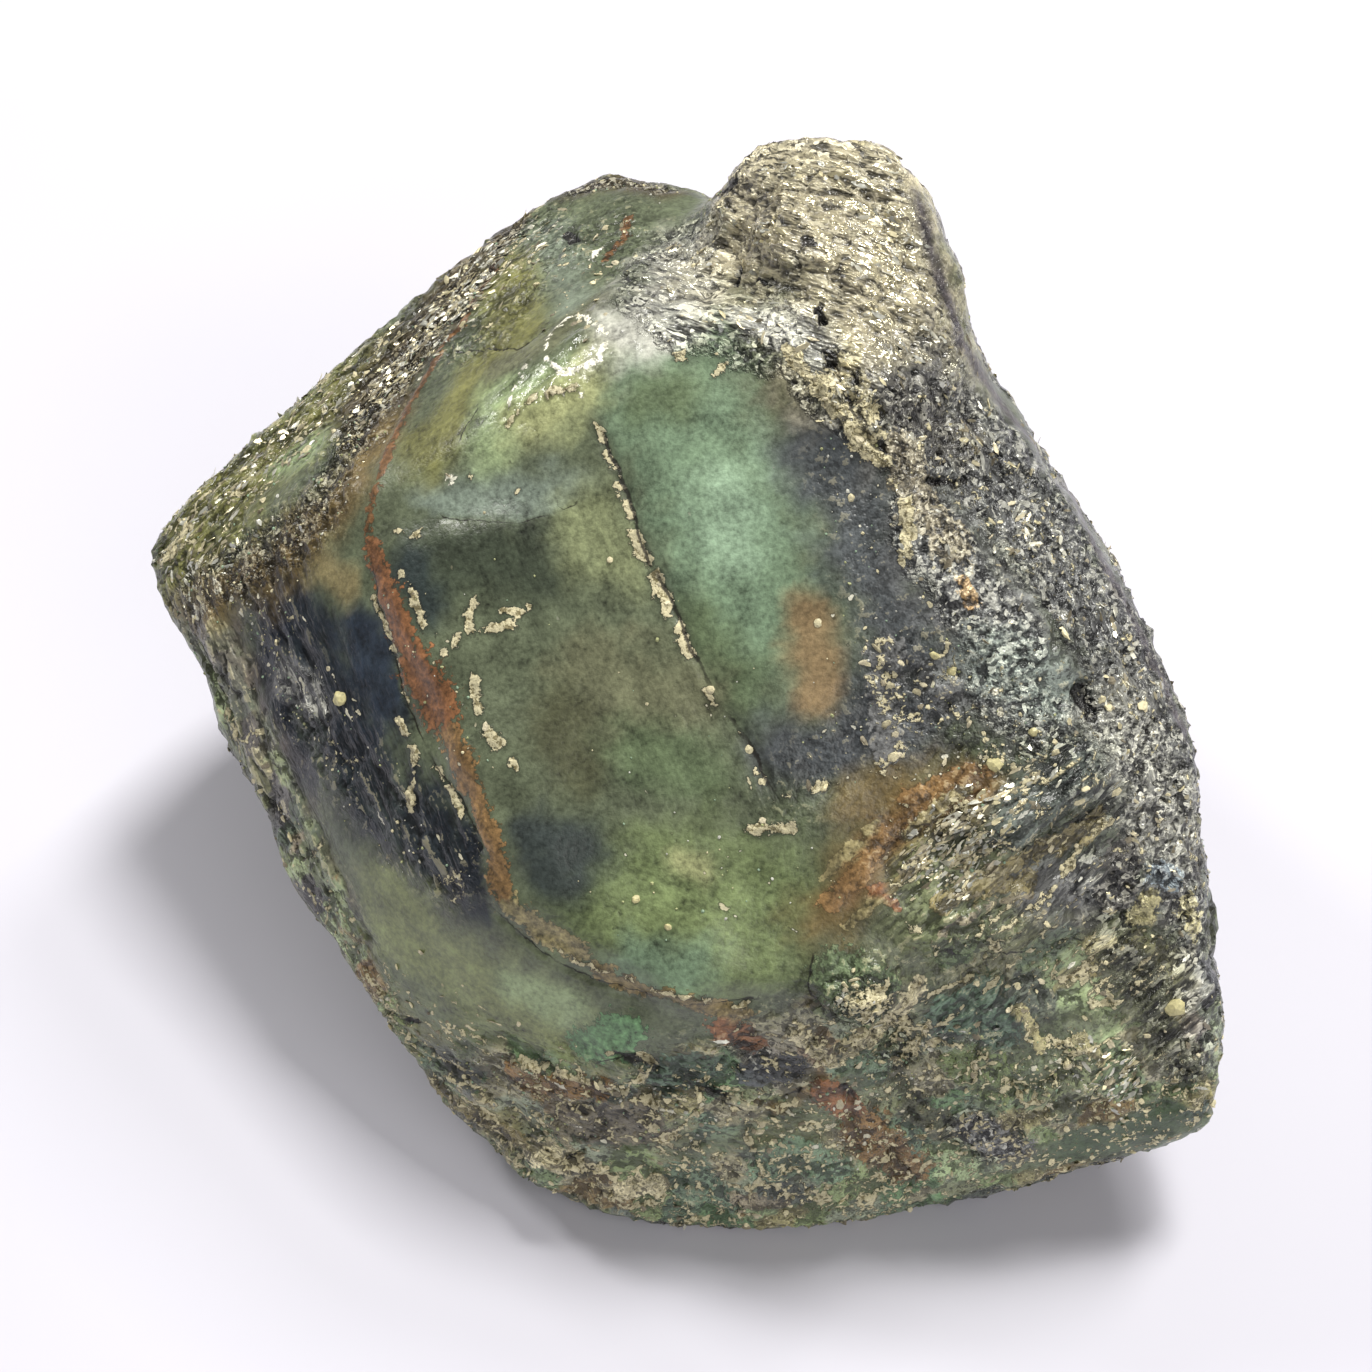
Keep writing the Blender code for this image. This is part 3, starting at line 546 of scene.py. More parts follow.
# ---- ribbons of cream filling: half width, how full, and the line ----
RIBBONS = [
    ("main crack fill", 0.26, 1.0, [(597, 425), (605, 452), (616, 473), (622, 493), (629, 513), (632, 534)]),
    ("main crack wide", 0.42, 1.1, [(634, 534), (641, 550), (653, 570), (658, 588), (670, 612), (682, 640),
                                    (690, 652)]),
    ("main crack low", 0.20, 0.6, [(704, 690), (718, 708), (736, 732), (749, 750), (764, 784)]),
    ("hook", 0.34, 0.9, [(472, 603), (470, 620), (474, 633), (489, 630), (511, 625)]),
    ("dash", 0.28, 0.9, [(502, 609), (518, 612), (530, 607)]),
    ("blobs", 0.34, 0.8, [(457, 638), (444, 654)]),
    ("strip", 0.38, 0.95, [(476, 678), (474, 698), (483, 715), (487, 732), (500, 745)]),
    ("strip low", 0.26, 0.8, [(507, 750), (517, 776)]),
    ("vein right", 0.34, 0.8, [(402, 572), (412, 590), (420, 612), (428, 626)]),
    ("vein left", 0.30, 0.7, [(376, 600), (388, 632), (400, 662), (406, 702)]),
    ("chain", 0.30, 0.8, [(398, 722), (413, 750), (415, 769), (409, 802), (411, 823)]),
    ("beads", 0.26, 0.6, [(435, 765), (448, 786), (462, 814)]),
    ("low specks", 0.34, 0.7, [(751, 830), (768, 826), (794, 830)]),
    ("low specks right", 0.30, 0.6, [(775, 804), (807, 790), (827, 785)]),
    ("mint top", 0.45, 0.8, [(683, 358), (692, 370)]),
    ("mint top right", 0.25, 0.6, [(717, 387), (729, 352)]),
    # Partly cream filling, partly painted highlight: a cream ribbon laid on a bright line on the flake scar.
    ("scar gleam", 0.22, 0.6, [(503, 478), (520, 495)]),
    ("shoulder flecks", 0.24, 0.6, [(394, 528), (408, 534), (422, 538)]),
    ("yellow fleck", 0.26, 0.7, [(457, 468), (468, 475)]),
    ("seam", 0.20, 0.5, [(520, 925), (560, 950), (590, 965), (640, 985), (690, 998), (750, 1004)]),
    ("rust flakes", 0.34, 0.6, [(505, 1060), (560, 1072), (612, 1090)]),
    ("cream strip", 0.34, 0.8, [(615, 1092), (636, 1098), (654, 1106)]),
    ("black crack fill", 0.26, 0.7, [(611, 1052), (640, 1056), (661, 1070)]),
    # Partly cream filling, partly painted highlight: a cream ribbon laid on the crest's bright glossy line.
    ("crest gleam", 0.22, 0.9, [(505, 430), (522, 405), (545, 392), (575, 388)]),
    ("rind edge", 0.50, 0.8, [(788, 350), (809, 376), (831, 405), (853, 433), (870, 450), (900, 476),
                              (908, 520), (905, 560)]),
    ("foot rim", 0.16, 0.8, [(367, 968), (395, 1022), (444, 1080), (512, 1136), (535, 1150), (570, 1185),
                             (608, 1206), (648, 1208)]),
    ("teal ridge", 0.24, 0.7, [(925, 1000), (950, 985), (975, 978)]),
    ("teal ridge low", 0.22, 0.7, [(935, 1025), (965, 1005), (1000, 975)]),
    ("ledge edge", 0.26, 0.7, [(926, 870), (960, 858), (983, 840), (1018, 848)]),
    ("ledge edge high", 0.24, 0.6, [(1000, 800), (1030, 780), (1075, 760)]),
    ("ledge edge right", 0.26, 0.6, [(1060, 880), (1080, 850), (1110, 820)]),
    ("chip edge", 0.26, 0.6, [(744, 1130), (760, 1170), (790, 1200), (840, 1195)]),
    ("lobe foot", 0.34, 0.7, [(850, 1040), (880, 1020), (905, 1000), (920, 985)]),
]
# Round grains: name, colour, size and place.
BEADS = [
    ("navy bead", "yellow", 0.42, (340, 698)),
    ("right bead", "yellow", 0.34, (951, 671)),
    ("right bead 2", "yellow", 0.26, (935, 656)),
    ("right bead 3", "yellow", 0.42, (995, 764)),
    ("right bead 4", "yellow", 0.30, (1033, 732)),
    ("low right bead", "yellow", 0.50, (1175, 1007)),
    ("face bead", "cream", 0.20, (610, 560)),
    ("slate bead", "cream", 0.22, (851, 498)),
    ("crack bead", "cream", 0.22, (710, 690)),
    ("crack bead low", "cream", 0.22, (749, 750)),
    ("apple bead", "yellow", 0.24, (636, 899)),
    ("apple bead 2", "yellow", 0.22, (668, 927)),
    ("corner fleck", "cream", 0.20, (1111, 1125)),
    ("brown fleck", "cream", 0.20, (818, 623)),
]

# ---- noise that is the same each run ----
rng = np.random.default_rng(SEED)
GRADIENTS = rng.normal(size=(256, 3))
GRADIENTS /= np.linalg.norm(GRADIENTS, axis=1)[:, None]
SCATTER = rng.random((4096, 4))


def lattice_code(cells, seed):
    """A whole number for each cell of a lattice, scattered, and always the same."""
    x, y, z = cells.astype(np.int64).T
    code = x * 73856093 ^ y * 19349663 ^ z * 83492791 ^ (seed * 2654435761)
    code = (code ^ (code >> 13)) * 1274126177
    return (code ^ (code >> 16)) & 0x7FFFFFFF


def gradient_noise(points, seed):
    """Smooth noise from about -1 to 1, one bump to a unit."""
    cells = np.floor(points)
    part = points - cells
    ease = part ** 3 * (part * (part * 6 - 15) + 10)
    total = np.zeros(len(points))
    for corner in itertools.product((0, 1), repeat=3):
        slopes = GRADIENTS[lattice_code(cells + corner, seed) % len(GRADIENTS)]
        weight = np.prod(np.where(corner, ease, 1 - ease), axis=1)
        total += weight * np.sum(slopes * (part - corner), axis=1)
    return total * 1.5


def fractal(points, size, octaves, seed):
    """Noise with its largest bumps of a size in millimetres, and finer ones on them."""
    total = np.zeros(len(points))
    strength = 1.0
    for octave in range(octaves):
        total += strength * gradient_noise(points / size + 7.3 * octave, seed + octave)
        strength *= 0.5
        size *= 0.5
    return total


def plates(points, size, seed):
    """Broken ground of flat plates, each with a lean of its own: heights, and how far from an edge."""
    scaled = points / size
    cells = np.floor(scaled)
    nearest = np.full(len(points), 9.0)
    second = np.full(len(points), 9.0)
    height = np.zeros(len(points))
    for step in itertools.product((-1, 0, 1), repeat=3):
        cell = cells + step
        chance = SCATTER[lattice_code(cell, seed) % len(SCATTER)]
        offset = scaled - cell - chance[:, :3]
        distance = np.linalg.norm(offset, axis=1)
        closer = distance < nearest
        lean = np.roll(chance[:, :3], 1, axis=1) * 2 - 1
        second = np.where(closer, nearest, np.minimum(second, distance))
        height = np.where(closer, np.sum(lean * offset, axis=1) + chance[:, 3] - 0.5, height)
        nearest = np.minimum(nearest, distance)
    return height, second - nearest


def lumps(points, size, octaves, seed):
    """Rounded lumps with sharp creases between them, from about -1 in the creases to 1."""
    total = np.zeros(len(points))
    strength = 1.0
    for octave in range(octaves):
        total += strength * (3.2 * np.abs(gradient_noise(points / size + 3.7 * octave, seed + octave)) - 1.0)
        strength *= 0.5
        size *= 0.5
    return np.clip(total, -1.6, 1.6)


def ease_between(value, low, high):
    """0 below low, 1 above high, and smooth between; low may be the larger."""
    part = np.clip((value - low) / (high - low), 0.0, 1.0)
    return part * part * (3 - 2 * part)


def colour_of(name):
    """A palette colour as the linear red, green and blue that shaders use."""
    share = np.array(PALETTE[name]) / 255
    return np.where(share <= 0.04045, share / 12.92, ((share + 0.055) / 1.055) ** 2.4)


# ---- from the picture to the stone ----
RIGHT = np.array([1.0, 0.0, 0.0])
UP = np.array([0.0, math.sin(LOOK_DOWN), math.cos(LOOK_DOWN)])
FORWARD = np.array([0.0, math.cos(LOOK_DOWN), -math.sin(LOOK_DOWN)])


def on_stone(tree, spot):
    """The stone's point that shows at a spot in the picture, or None where the stone doesn't show."""
    across = (spot[0] - PICTURE_SIDE / 2) / FOCAL_PIXELS
    upward = (PICTURE_SIDE / 2 - spot[1]) / FOCAL_PIXELS
    direction = FORWARD + RIGHT * across + UP * upward
    place = tree.ray_cast(Vector(CAMERA_PLACE), Vector(direction).normalized())[0]
    return None if place is None else np.array(place)


def trail(tree, spots, step=PIXELS_A_STEP):
    """The points on the stone along a line in the picture."""
    points = []
    for start, end in zip(spots[:-1], spots[1:]):
        start, end = np.array(start, float), np.array(end, float)
        count = max(1, int(np.linalg.norm(end - start) / step))
        points += [on_stone(tree, start + (end - start) * part / count) for part in range(count)]
    points.append(on_stone(tree, spots[-1]))
    return np.array([point for point in points if point is not None])


def nearness(points, line, reach):
    """Each point's distance from a line of points, worked out only within reach of it."""
    distance = np.full(len(points), 1e3)
    low, high = line.min(axis=0) - reach, line.max(axis=0) + reach
    close = np.all((points > low) & (points < high), axis=1)
    chosen = points[close]
    best = np.full(len(chosen), 1e6)
    for point in line:
        best = np.minimum(best, np.sum((chosen - point) ** 2, axis=1))
    distance[close] = np.sqrt(best)
    return distance


# ---- the skin ----
def arrays_of(mesh):
    """A mesh's points and triangles as arrays."""
    points = np.empty(len(mesh.vertices) * 3)
    mesh.vertices.foreach_get("co", points)
    mesh.calc_loop_triangles()
    triangles = np.empty(len(mesh.loop_triangles) * 3, np.int32)
    mesh.loop_triangles.foreach_get("vertices", triangles)
    return points.reshape(-1, 3), triangles.reshape(-1, 3)


def fine_stone(node):
    """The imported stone's mesh in millimetres, with fine even points and its flat triangles smoothed away."""
    shape = bmesh.new()
    shape.from_mesh(node.data)
    bmesh.ops.remove_doubles(shape, verts=shape.verts, dist=1e-6)
    bmesh.ops.scale(shape, verts=shape.verts, vec=(1 / MM, 1 / MM, 1 / MM))
    mesh = bpy.data.meshes.new("fine")
    shape.to_mesh(mesh)
    shape.free()
    rough = bpy.data.objects.new("fine", mesh)
    bpy.context.scene.collection.objects.link(rough)
    remesh = rough.modifiers.new("even points", "REMESH")
    remesh.mode = "VOXEL"
    remesh.voxel_size = VOXEL
    smooth = rough.modifiers.new("no flats", "SMOOTH")
    smooth.factor = 0.5
    smooth.iterations = SMOOTH_ROUNDS
    bpy.context.view_layer.update()
    depsgraph = bpy.context.evaluated_depsgraph_get()
    result = bpy.data.meshes.new_from_object(rough.evaluated_get(depsgraph))
    bpy.data.objects.remove(rough)
    return result


def normals_of(points, triangles):
    """Each point's normal, from the triangles round it."""
    corners = points[triangles]
    faces = np.cross(corners[:, 1] - corners[:, 0], corners[:, 2] - corners[:, 0])
    total = np.zeros_like(points)
    for corner in range(3):
        np.add.at(total, triangles[:, corner], faces)
    return total / np.maximum(np.linalg.norm(total, axis=1), 1e-12)[:, None]


def painted(ragged, tree, rows):
    """How much of one kind of ground each point has, from rows of name, density, reach and places."""
    field = np.zeros(len(ragged))
    for _, density, reach, spots in rows:
        distance = nearness(ragged, trail(tree, spots, WIDE_STEP), reach * 1.5)
        field = np.maximum(field, density * ease_between(distance / reach, 1.3, 0.35))
    return field


def pits_at(points, tree):
    """How far into a pit each point is: 1 in the middle, 0 past its edge."""
    ragged = points + 0.20 * wander(points, 0.6, SEED + 66)
    depth = np.zeros(len(points))
    for _, half, spots in PITS:
        distance = nearness(ragged, trail(tree, spots, CLOSE_STEP), 2 * half)
        depth = np.maximum(depth, ease_between(distance / half, 1.2, 0.5))
    return depth


def ribbons_at(points, tree):
    """How near the middle of a ribbon of cream each point is: 1 in the middle, 0 past its edge."""
    ragged = points + 0.22 * wander(points, 0.7, SEED + 60)
    gaps = 1.5 * fractal(points, 0.9, 2, SEED + 65)
    filled = np.zeros(len(points))
    for _, half, full, spots in RIBBONS:
        distance = nearness(ragged, trail(tree, spots, CLOSE_STEP), 2.2 * half + 0.2)
        filled = np.maximum(filled, np.clip(full + gaps, 0, 1) * np.clip(1.25 - 0.9 * distance / half, 0, 1))
    return filled


def wander(points, size, seed):
    """A smooth random shift for each point, about one unit long at most."""
    return np.stack([fractal(points, size, 2, seed + 5 * axis) for axis in range(3)], axis=1)


def cracks_at(points, normals, tree):
    """Each point's signed distance across the nearest crack, and how near and how deep the crack is."""
    across = np.full(len(points), 3.0)
    near = np.zeros(len(points))
    groove = np.zeros(len(points))
    shaky = points + 0.10 * wander(points, 0.7, SEED + 70)
    for _, width, depth, spots in CRACKS:
        line = trail(tree, spots, CLOSE_STEP)
        distance = nearness(shaky, line, 1.5)
        chosen = np.flatnonzero(distance < 1.4)
        gaps = shaky[chosen, None, :] - line[None, :, :]
        closest = np.argmin(np.sum(gaps ** 2, axis=2), axis=1)
        ahead = line[np.minimum(closest + 2, len(line) - 1)] - line[np.maximum(closest - 2, 0)]
        ahead /= np.linalg.norm(ahead, axis=1)[:, None]
        side = np.cross(ahead, normals[chosen])
        gap = gaps[np.arange(len(chosen)), closest]
        signed = np.sum(gap * side, axis=1)
        along = np.abs(np.sum(gap * ahead, axis=1))
        here = ease_between(distance[chosen], 1.3, 0.7) * ease_between(along, 0.5, 0.1)
        here *= ease_between(fractal(points[chosen], 1.5, 2, SEED + 90), -0.6, 0.05)
        taken = here > near[chosen]
        across[chosen[taken]] = signed[taken] / width
        near[chosen[taken]] = here[taken]
        cut = depth * here * np.exp(-(distance[chosen] / (1.6 * width)) ** 2)
        groove[chosen] = np.maximum(groove[chosen], cut)
    return across, near, groove


def ways_of(tree):
    """The directions that the stone is drawn out in, by name."""
    ways = {}
    for name, (start, end) in WAYS.items():
        way = on_stone(tree, end) - on_stone(tree, start)
        ways[name] = way / np.linalg.norm(way)
    return ways


def drawn_out(points, way):
    """Points pressed together along each one's direction, so that noise on them comes out long that way."""
    return points - DRAWN_OUT * np.sum(points * way, axis=1)[:, None] * way


def way_at(points, ways, ground):
    """The direction that the stone is drawn out in at each point, or nothing where it isn't."""
    shares = np.stack([ground[name] for name in ways])
    drawn = shares.max(axis=0) > 0.35 + 0.25 * fractal(points, 1.2, 2, SEED + 480)
    return np.array(list(ways.values()))[np.argmax(shares, axis=0)] * drawn[:, None]


def hidden_tint(points):
    """The colours of the sides that the picture doesn't show: the same stone, laid out by noise."""
    tint = np.tile(colour_of("grey_green"), (len(points), 1))
    layers = [
        ("mint", 11.0, 0.25, 0.75), ("olive", 8.0, 0.15, 0.65), ("deep_green", 7.0, 0.2, 0.7),
        ("slate", 9.0, 0.3, 0.7), ("grey_brown", 6.0, 0.3, 0.8), ("apple", 6.5, 0.45, 0.9),
        ("navy", 8.5, 0.6, 0.95), ("haze_brown", 5.0, 0.65, 1.0),
    ]
    for row, (name, size, low, high) in enumerate(layers):
        share = ease_between(fractal(points, size, 4, SEED + 200 + 11 * row), low, high)
        tint += (colour_of(name) - tint) * 0.85 * share[:, None]
    return tint


def facing(points, normals):
    """Whether the camera sees each point's side of the stone: 1 where it does, 0 where it doesn't."""
    to_camera = CAMERA_PLACE - points
    to_camera /= np.linalg.norm(to_camera, axis=1)[:, None]
    return ease_between(np.sum(normals * to_camera, axis=1), -0.08, 0.26)


def kinds_of_ground(points, normals, tree):
    """How much of each kind of ground there is under each point."""
    seen = facing(points, normals)
    hidden = 1 - seen
    rind = ease_between(fractal(points, 10.0, 3, SEED + 300), 0.35, 0.6)
    rind = np.maximum(rind, ease_between(points[:, 0] + 0.25 * points[:, 2], RIND_FROM, RIND_FROM + 4))
    rind *= hidden * ease_between(fractal(points, 8.0, 4, SEED + 305), 0.50, 0.25)
    crust = hidden * 0.8 * ease_between(fractal(points, 4.5, 3, SEED + 320), 0.2, 0.7)
    clusters = 1.0 + 0.45 * fractal(points, 2.4, 3, SEED + 325)
    specks = hidden * ease_between(fractal(points, 6.0, 2, SEED + 330), 0.1, 0.5)
    low = ease_between(points[:, 2], *LOW_GROUND)
    ragged = points + RAGGED * wander(points, 1.6, SEED + 40)
    grit = np.maximum(painted(ragged, tree, GRIT), 0.85 * np.maximum(hidden, low))
    foot = ease_between(points[:, 2], *PAINTED_LIGHT_BELOW) * seen
    crust = np.maximum(crust, 0.5 * np.maximum(low, foot))
    across, near, groove = cracks_at(points, normals, tree)
    drawn = {name: painted(ragged, tree, rows) for name, rows in DRAWN.items()}
    drawn["down"] = np.maximum(drawn["down"], 0.7 * hidden * (1 - rind))
    calm = 1 - 0.85 * painted(ragged, tree, SMOOTH)
    schist = np.maximum(painted(ragged, tree, SCHIST), rind) * calm
    return {
        **drawn,
        "streak": np.clip(sum(drawn.values()), 0, 1),
        "seen": seen, "rind": rind, "foot": foot,
        "schist": schist * (1 + 0.3 * fractal(points, 1.1, 2, SEED + 340)),
        "crust": np.clip(np.maximum(painted(ragged, tree, CRUST), crust) * clusters, 0, 1),
        "specks": np.maximum(painted(ragged, tree, SPECKS), specks),
        "shine": np.maximum(painted(ragged, tree, SHINE), 0.5 * rind),
        "grit": grit * calm,
        "pit": pits_at(points, tree),
        "across": across, "near": near, "groove": groove,
        "fill": ribbons_at(points, tree),
    }


def roughest(ground):
    """How rough the ground is under each point, from 0 to 1, for choosing where the points get closer."""
    rough = np.maximum.reduce([ground["schist"], ground["crust"], ground["fill"] * 2, ground["near"],
                               ground["pit"], 0.8 * ground["grit"], 0.7 * ground["shine"]])
    return rough * (0.25 + 0.75 * ground["seen"])


def right_of(points, normals, line):
    """How far right of a line on the stone each point is, or left where it is less than nothing."""
    closest = np.zeros(len(points), int)
    for start in range(0, len(points), 20000):
        part = slice(start, start + 20000)
        gaps = np.sum((points[part, None, :] - line[None]) ** 2, axis=2)
        closest[part] = np.argmin(gaps, axis=1)
    ahead = line[np.minimum(closest + 1, len(line) - 1)] - line[np.maximum(closest - 1, 0)]
    side = np.cross(normals, ahead / np.linalg.norm(ahead, axis=1)[:, None])
    return np.sum((points - line[closest]) * side, axis=1)


def mosaic(points, size, names, seed):
    """Broken ground of many colours: each scattered cell has one of the named colours."""
    colours = np.array([colour_of(name) for name in names])
    shifted = (points + 0.5 * wander(points, 1.1, seed + 3)) / size
    cells = np.floor(shifted)
    nearest = np.full(len(points), 9.0)
    chosen = np.zeros(len(points), int)
    for step in itertools.product((-1, 0, 1), repeat=3):
        code = lattice_code(cells + step, seed)
        distance = np.linalg.norm(shifted - cells - step - SCATTER[code % len(SCATTER), :3], axis=1)
        chosen = np.where(distance < nearest, code // len(SCATTER) % len(names), chosen)
        nearest = np.minimum(nearest, distance)
    return colours[chosen]


def sides_of(points, normals, tree):
    """How far to the right of each edge every point is."""
    uneven = 0.12 * fractal(points, 0.9, 2, SEED + 36)
    lines = {name: trail(tree, spots, WIDE_STEP) for name, spots in EDGES.items()}
    return {name: right_of(points, normals, line) + uneven for name, line in lines.items()}


def tints_of(points, tree, ground, sides):
    """The colour under each point, before the chips."""
    broad = 0.9 * wander(points, 4.5, SEED + 30)
    small = 0.5 * wander(points, 1.3, SEED + 50)
    fleck = 0.34 * fractal(points, 1.2, 3, SEED + 35)
    tint = hidden_tint(points)
    tint += (colour_of("grey_green") - tint) * ground["seen"][:, None]
    rock = colour_of("schist") * (1 + 0.35 * fractal(points, 4.0, 3, SEED + 310))[:, None]
    for row, name in enumerate(("beige", "slate", "olive_brown")):
        share = 0.8 * ease_between(fractal(points, 6.0, 4, SEED + 313 + 7 * row), 0.15, 0.5)
        rock += (colour_of(name) - rock) * share[:, None]
    tint += (rock - tint) * (0.9 * ground["rind"])[:, None]
    for _, name, reach, spots, *edge in PATCHES:
        shift = min(1.0, reach / 2.5)
        line = trail(tree, spots, WIDE_STEP if reach > 1 else PIXELS_A_STEP)
        distance = nearness(points + shift * (broad + small), line, reach * 2.2)
        share = 0.95 * ease_between(distance / reach + fleck, 1.45, 0.30)
        for border, side in edge:
            share = share * ease_between(side * sides[border], -0.10, 0.16)
        tint += (colour_of(name) - tint) * share[:, None]
    broken = ease_between(ground["grit"], 0.5, 0.85) * (1 - 0.8 * ground["schist"])
    seen = ground["seen"]
    broken *= np.maximum(ease_between(points[:, 2], *BROKEN_BELOW) * seen, 0.35 * (1 - seen))
    tint += (mosaic(points, 2.4, MOSAIC, SEED + 500) - tint) * (0.6 * broken)[:, None]
    # Painted light: broken ground, and more so the seen foot, is made lighter in colour, standing in for light
    # that falls short of the low faces.
    tint *= (1 + 0.8 * broken + FOOT_PAINTED_LIGHT * ground["foot"])[:, None]
    return tint


def chips_of(points, tree, ground, sides):
    """The nearest chip's colour, and how near its middle each point is: 1 in it, a half at its edge."""
    shaky = points + 0.28 * wander(points, 0.9, SEED + 520)
    colour = ground["tint"].copy()
    closest = np.zeros(len(points))
    for _, name, half, spots, *edge in CHIPS:
        distance = nearness(shaky, trail(tree, spots, PIXELS_A_STEP), 2 * half)
        close = np.clip(1 - 0.5 * distance / half, 0, 1)
        for border, side in edge:
            close = close * ease_between(side * sides[border], -0.10, 0.10)
        colour[close > closest] = colour_of(name)
        closest = np.maximum(closest, close)
    # Painted shade: the pits are painted near black.
    colour[ground["pit"] > closest] = colour_of("sooty")
    # Painted light: the chips on the seen foot are made lighter as well.
    return colour * (1 + FOOT_PAINTED_LIGHT * ground["foot"])[:, None], np.maximum(closest, ground["pit"])


def chipped_ground(points):
    """Chips of two sizes with gaps between them."""
    chips, edge = plates(points + 0.35 * wander(points, 1.0, SEED + 425), 1.7, SEED + 426)
    small, small_edge = plates(points + 0.2 * wander(points, 0.6, SEED + 428), 0.75, SEED + 429)
    gaps = 0.6 * ease_between(edge, 0.10, 0.0) + 0.35 * ease_between(small_edge, 0.16, 0.0)
    return 0.7 * chips + 0.4 * small - gaps


def foil_ground(points):
    """Crumpled foil: leaning shards and rounded lumps, with sharp creases."""
    shifted = points + 0.25 * wander(points, 0.8, SEED + 410)
    shards, edge = plates(shifted, 1.15, SEED + 411)
    return 0.5 * shards + 0.45 * lumps(shifted, 1.3, 3, SEED + 412) - 0.5 * ease_between(edge, 0.14, 0.0)


def relief(points, ground):
    """How far each point stands out, in millimetres, and how high it looks in its own bit of rough ground,
    from which the shader paints shade in the low places and light on the high ones.
    """
    schist, crust, grit, fill, shine = (ground[name] for name in ("schist", "crust", "grit", "fill", "shine"))
    pressed = drawn_out(points, ground["way"])
    pits = ease_between(fractal(points, 1.4, 2, SEED + 450), 0.5, 0.85)
    rise_and_shade = schist * foil_ground(pressed) + (1 - schist) * grit * chipped_ground(pressed)
    rise_and_shade -= 1.2 * pits * np.maximum(schist, 0.6 * grit)
    height = SWELL * fractal(points, 3.4, 3, SEED + 400)
    height += (ROUGH_RISE + SEEN_RISE * ground["seen"]) * (1 - 0.4 * shine) * rise_and_shade
    height += CHIP_RISE * ease_between(ground["chip"], 0.4, 0.55) - PIT_DEPTH * ground["pit"]
    height += GLOSSY_LUMPS * shine * (1 - schist) * lumps(pressed, 1.5, 2, SEED + 470)
    height += crust * CRUST_RISE * np.maximum(fractal(points, 0.85, 2, SEED + 430), -0.1)
    lines = fractal(pressed, 0.85, 2, SEED + 440)
    height += STREAK_RISE * ground["streak"] * (0.4 + 0.6 * grit) * lines
    filled = ease_between(fill, 0.35, 0.6)
    height += FILLING_RISE * filled * (1 + fractal(points, 0.6, 2, SEED + 445))
    folds = np.abs(fractal(points, 2.2, 3, SEED + 490))
    crease = ease_between(folds, 0.10, 0.0) * schist * (0.35 + 0.65 * shine)
    height += FOIL_FOLDS * schist * shine * np.minimum(folds, 0.7) - CREASE_DEPTH * crease
    _, block_edge = plates(points + 0.5 * wander(points, 1.2, SEED + 462), 2.6, SEED + 463)
    borders = grit * (1 - schist) * ease_between(block_edge, 0.12, 0.02)
    kept = ease_between(fractal(points, 2.6, 2, SEED + 460), -0.1, 0.3)
    crevices = borders * ease_between(kept, 0.3, 0.0)
    borders *= kept
    height -= CREVICE_DEPTH * crevices
    # Creases, crevices and pits are made lower here so that the shader paints them darker: painted shade.
    rise_and_shade += 0.35 * ground["streak"] * lines - 1.3 * crease - 1.4 * crevices
    rise_and_shade -= 1.5 * ground["pit"]
    return height - ground["groove"], rise_and_shade, np.maximum(fill, 0.8 * borders), lines


def foil_lean(points, ground):
    """Which way each bit of crumpled foil leans, as a vector to add to its normal."""
    shifted = (drawn_out(points, ground["way"]) + 0.3 * wander(points, 0.9, SEED + 620)) / 0.8
    cells = np.floor(shifted)
    nearest = np.full(len(points), 9.0)
    lean = np.zeros((len(points), 3))
    for step in itertools.product((-1, 0, 1), repeat=3):
        chance = SCATTER[lattice_code(cells + step, SEED + 625) % len(SCATTER)]
        distance = np.linalg.norm(shifted - cells - step - chance[:, :3], axis=1)
        lean = np.where((distance < nearest)[:, None], np.roll(chance, 1, axis=1)[:, :3] - 0.5, lean)
        nearest = np.minimum(nearest, distance)
    return lean * (ground["shine"] * np.maximum(ground["schist"], 0.3))[:, None]


def light_of(points, ground, lines):
    """How light or dark the stone is at each point, in clouds, veils and drawn-out streaks."""
    clouds = 0.40 * fractal(points, 1.9, 3, SEED + 600)
    veils = 0.25 * ease_between(fractal(points, 0.9, 3, SEED + 610), 0.15, 0.6)
    return np.clip(1 + clouds + veils + 0.45 * ground["streak"] * lines, 0.3, 2.2)


def give(mesh, name, kind, values):
    """Stores an array on a mesh's points under a name."""
    layer = mesh.attributes.new(name, kind, "POINT")
    if kind == "FLOAT_COLOR":
        values = np.concatenate([values, np.ones((len(values), 1))], axis=1)
        layer.data.foreach_set("color", values.ravel())
    else:
        layer.data.foreach_set("value", values.ravel())


def give_faces(mesh, name, vectors):
    """Stores a vector on each face, from its first point's, so that it changes sharply between faces."""
    starts = np.empty(len(mesh.polygons), np.int32)
    mesh.polygons.foreach_get("loop_start", starts)
    corners = np.empty(len(mesh.loops), np.int32)
    mesh.loops.foreach_get("vertex_index", corners)
    layer = mesh.attributes.new(name, "FLOAT_VECTOR", "FACE")
    layer.data.foreach_set("vector", vectors[corners[starts]].ravel())


def box_of_points(points):
    """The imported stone's box in millimetres, for keeping points inside."""
    low, high = (np.array(corner) / MM for corner in cad_box)
    return np.clip(points, low, high)


def closer_points(mesh, rough):
    """Halves the spacing of the mesh's points where the ground is rough."""
    shape = bmesh.new()
    shape.from_mesh(mesh)
    shape.verts.ensure_lookup_table()
    chosen = rough > FINE_FROM
    edges = [edge for edge in shape.edges if all(chosen[vert.index] for vert in edge.verts)]
    bmesh.ops.subdivide_edges(shape, edges=edges, cuts=1, use_grid_fill=True)
    shape.to_mesh(mesh)
    shape.free()


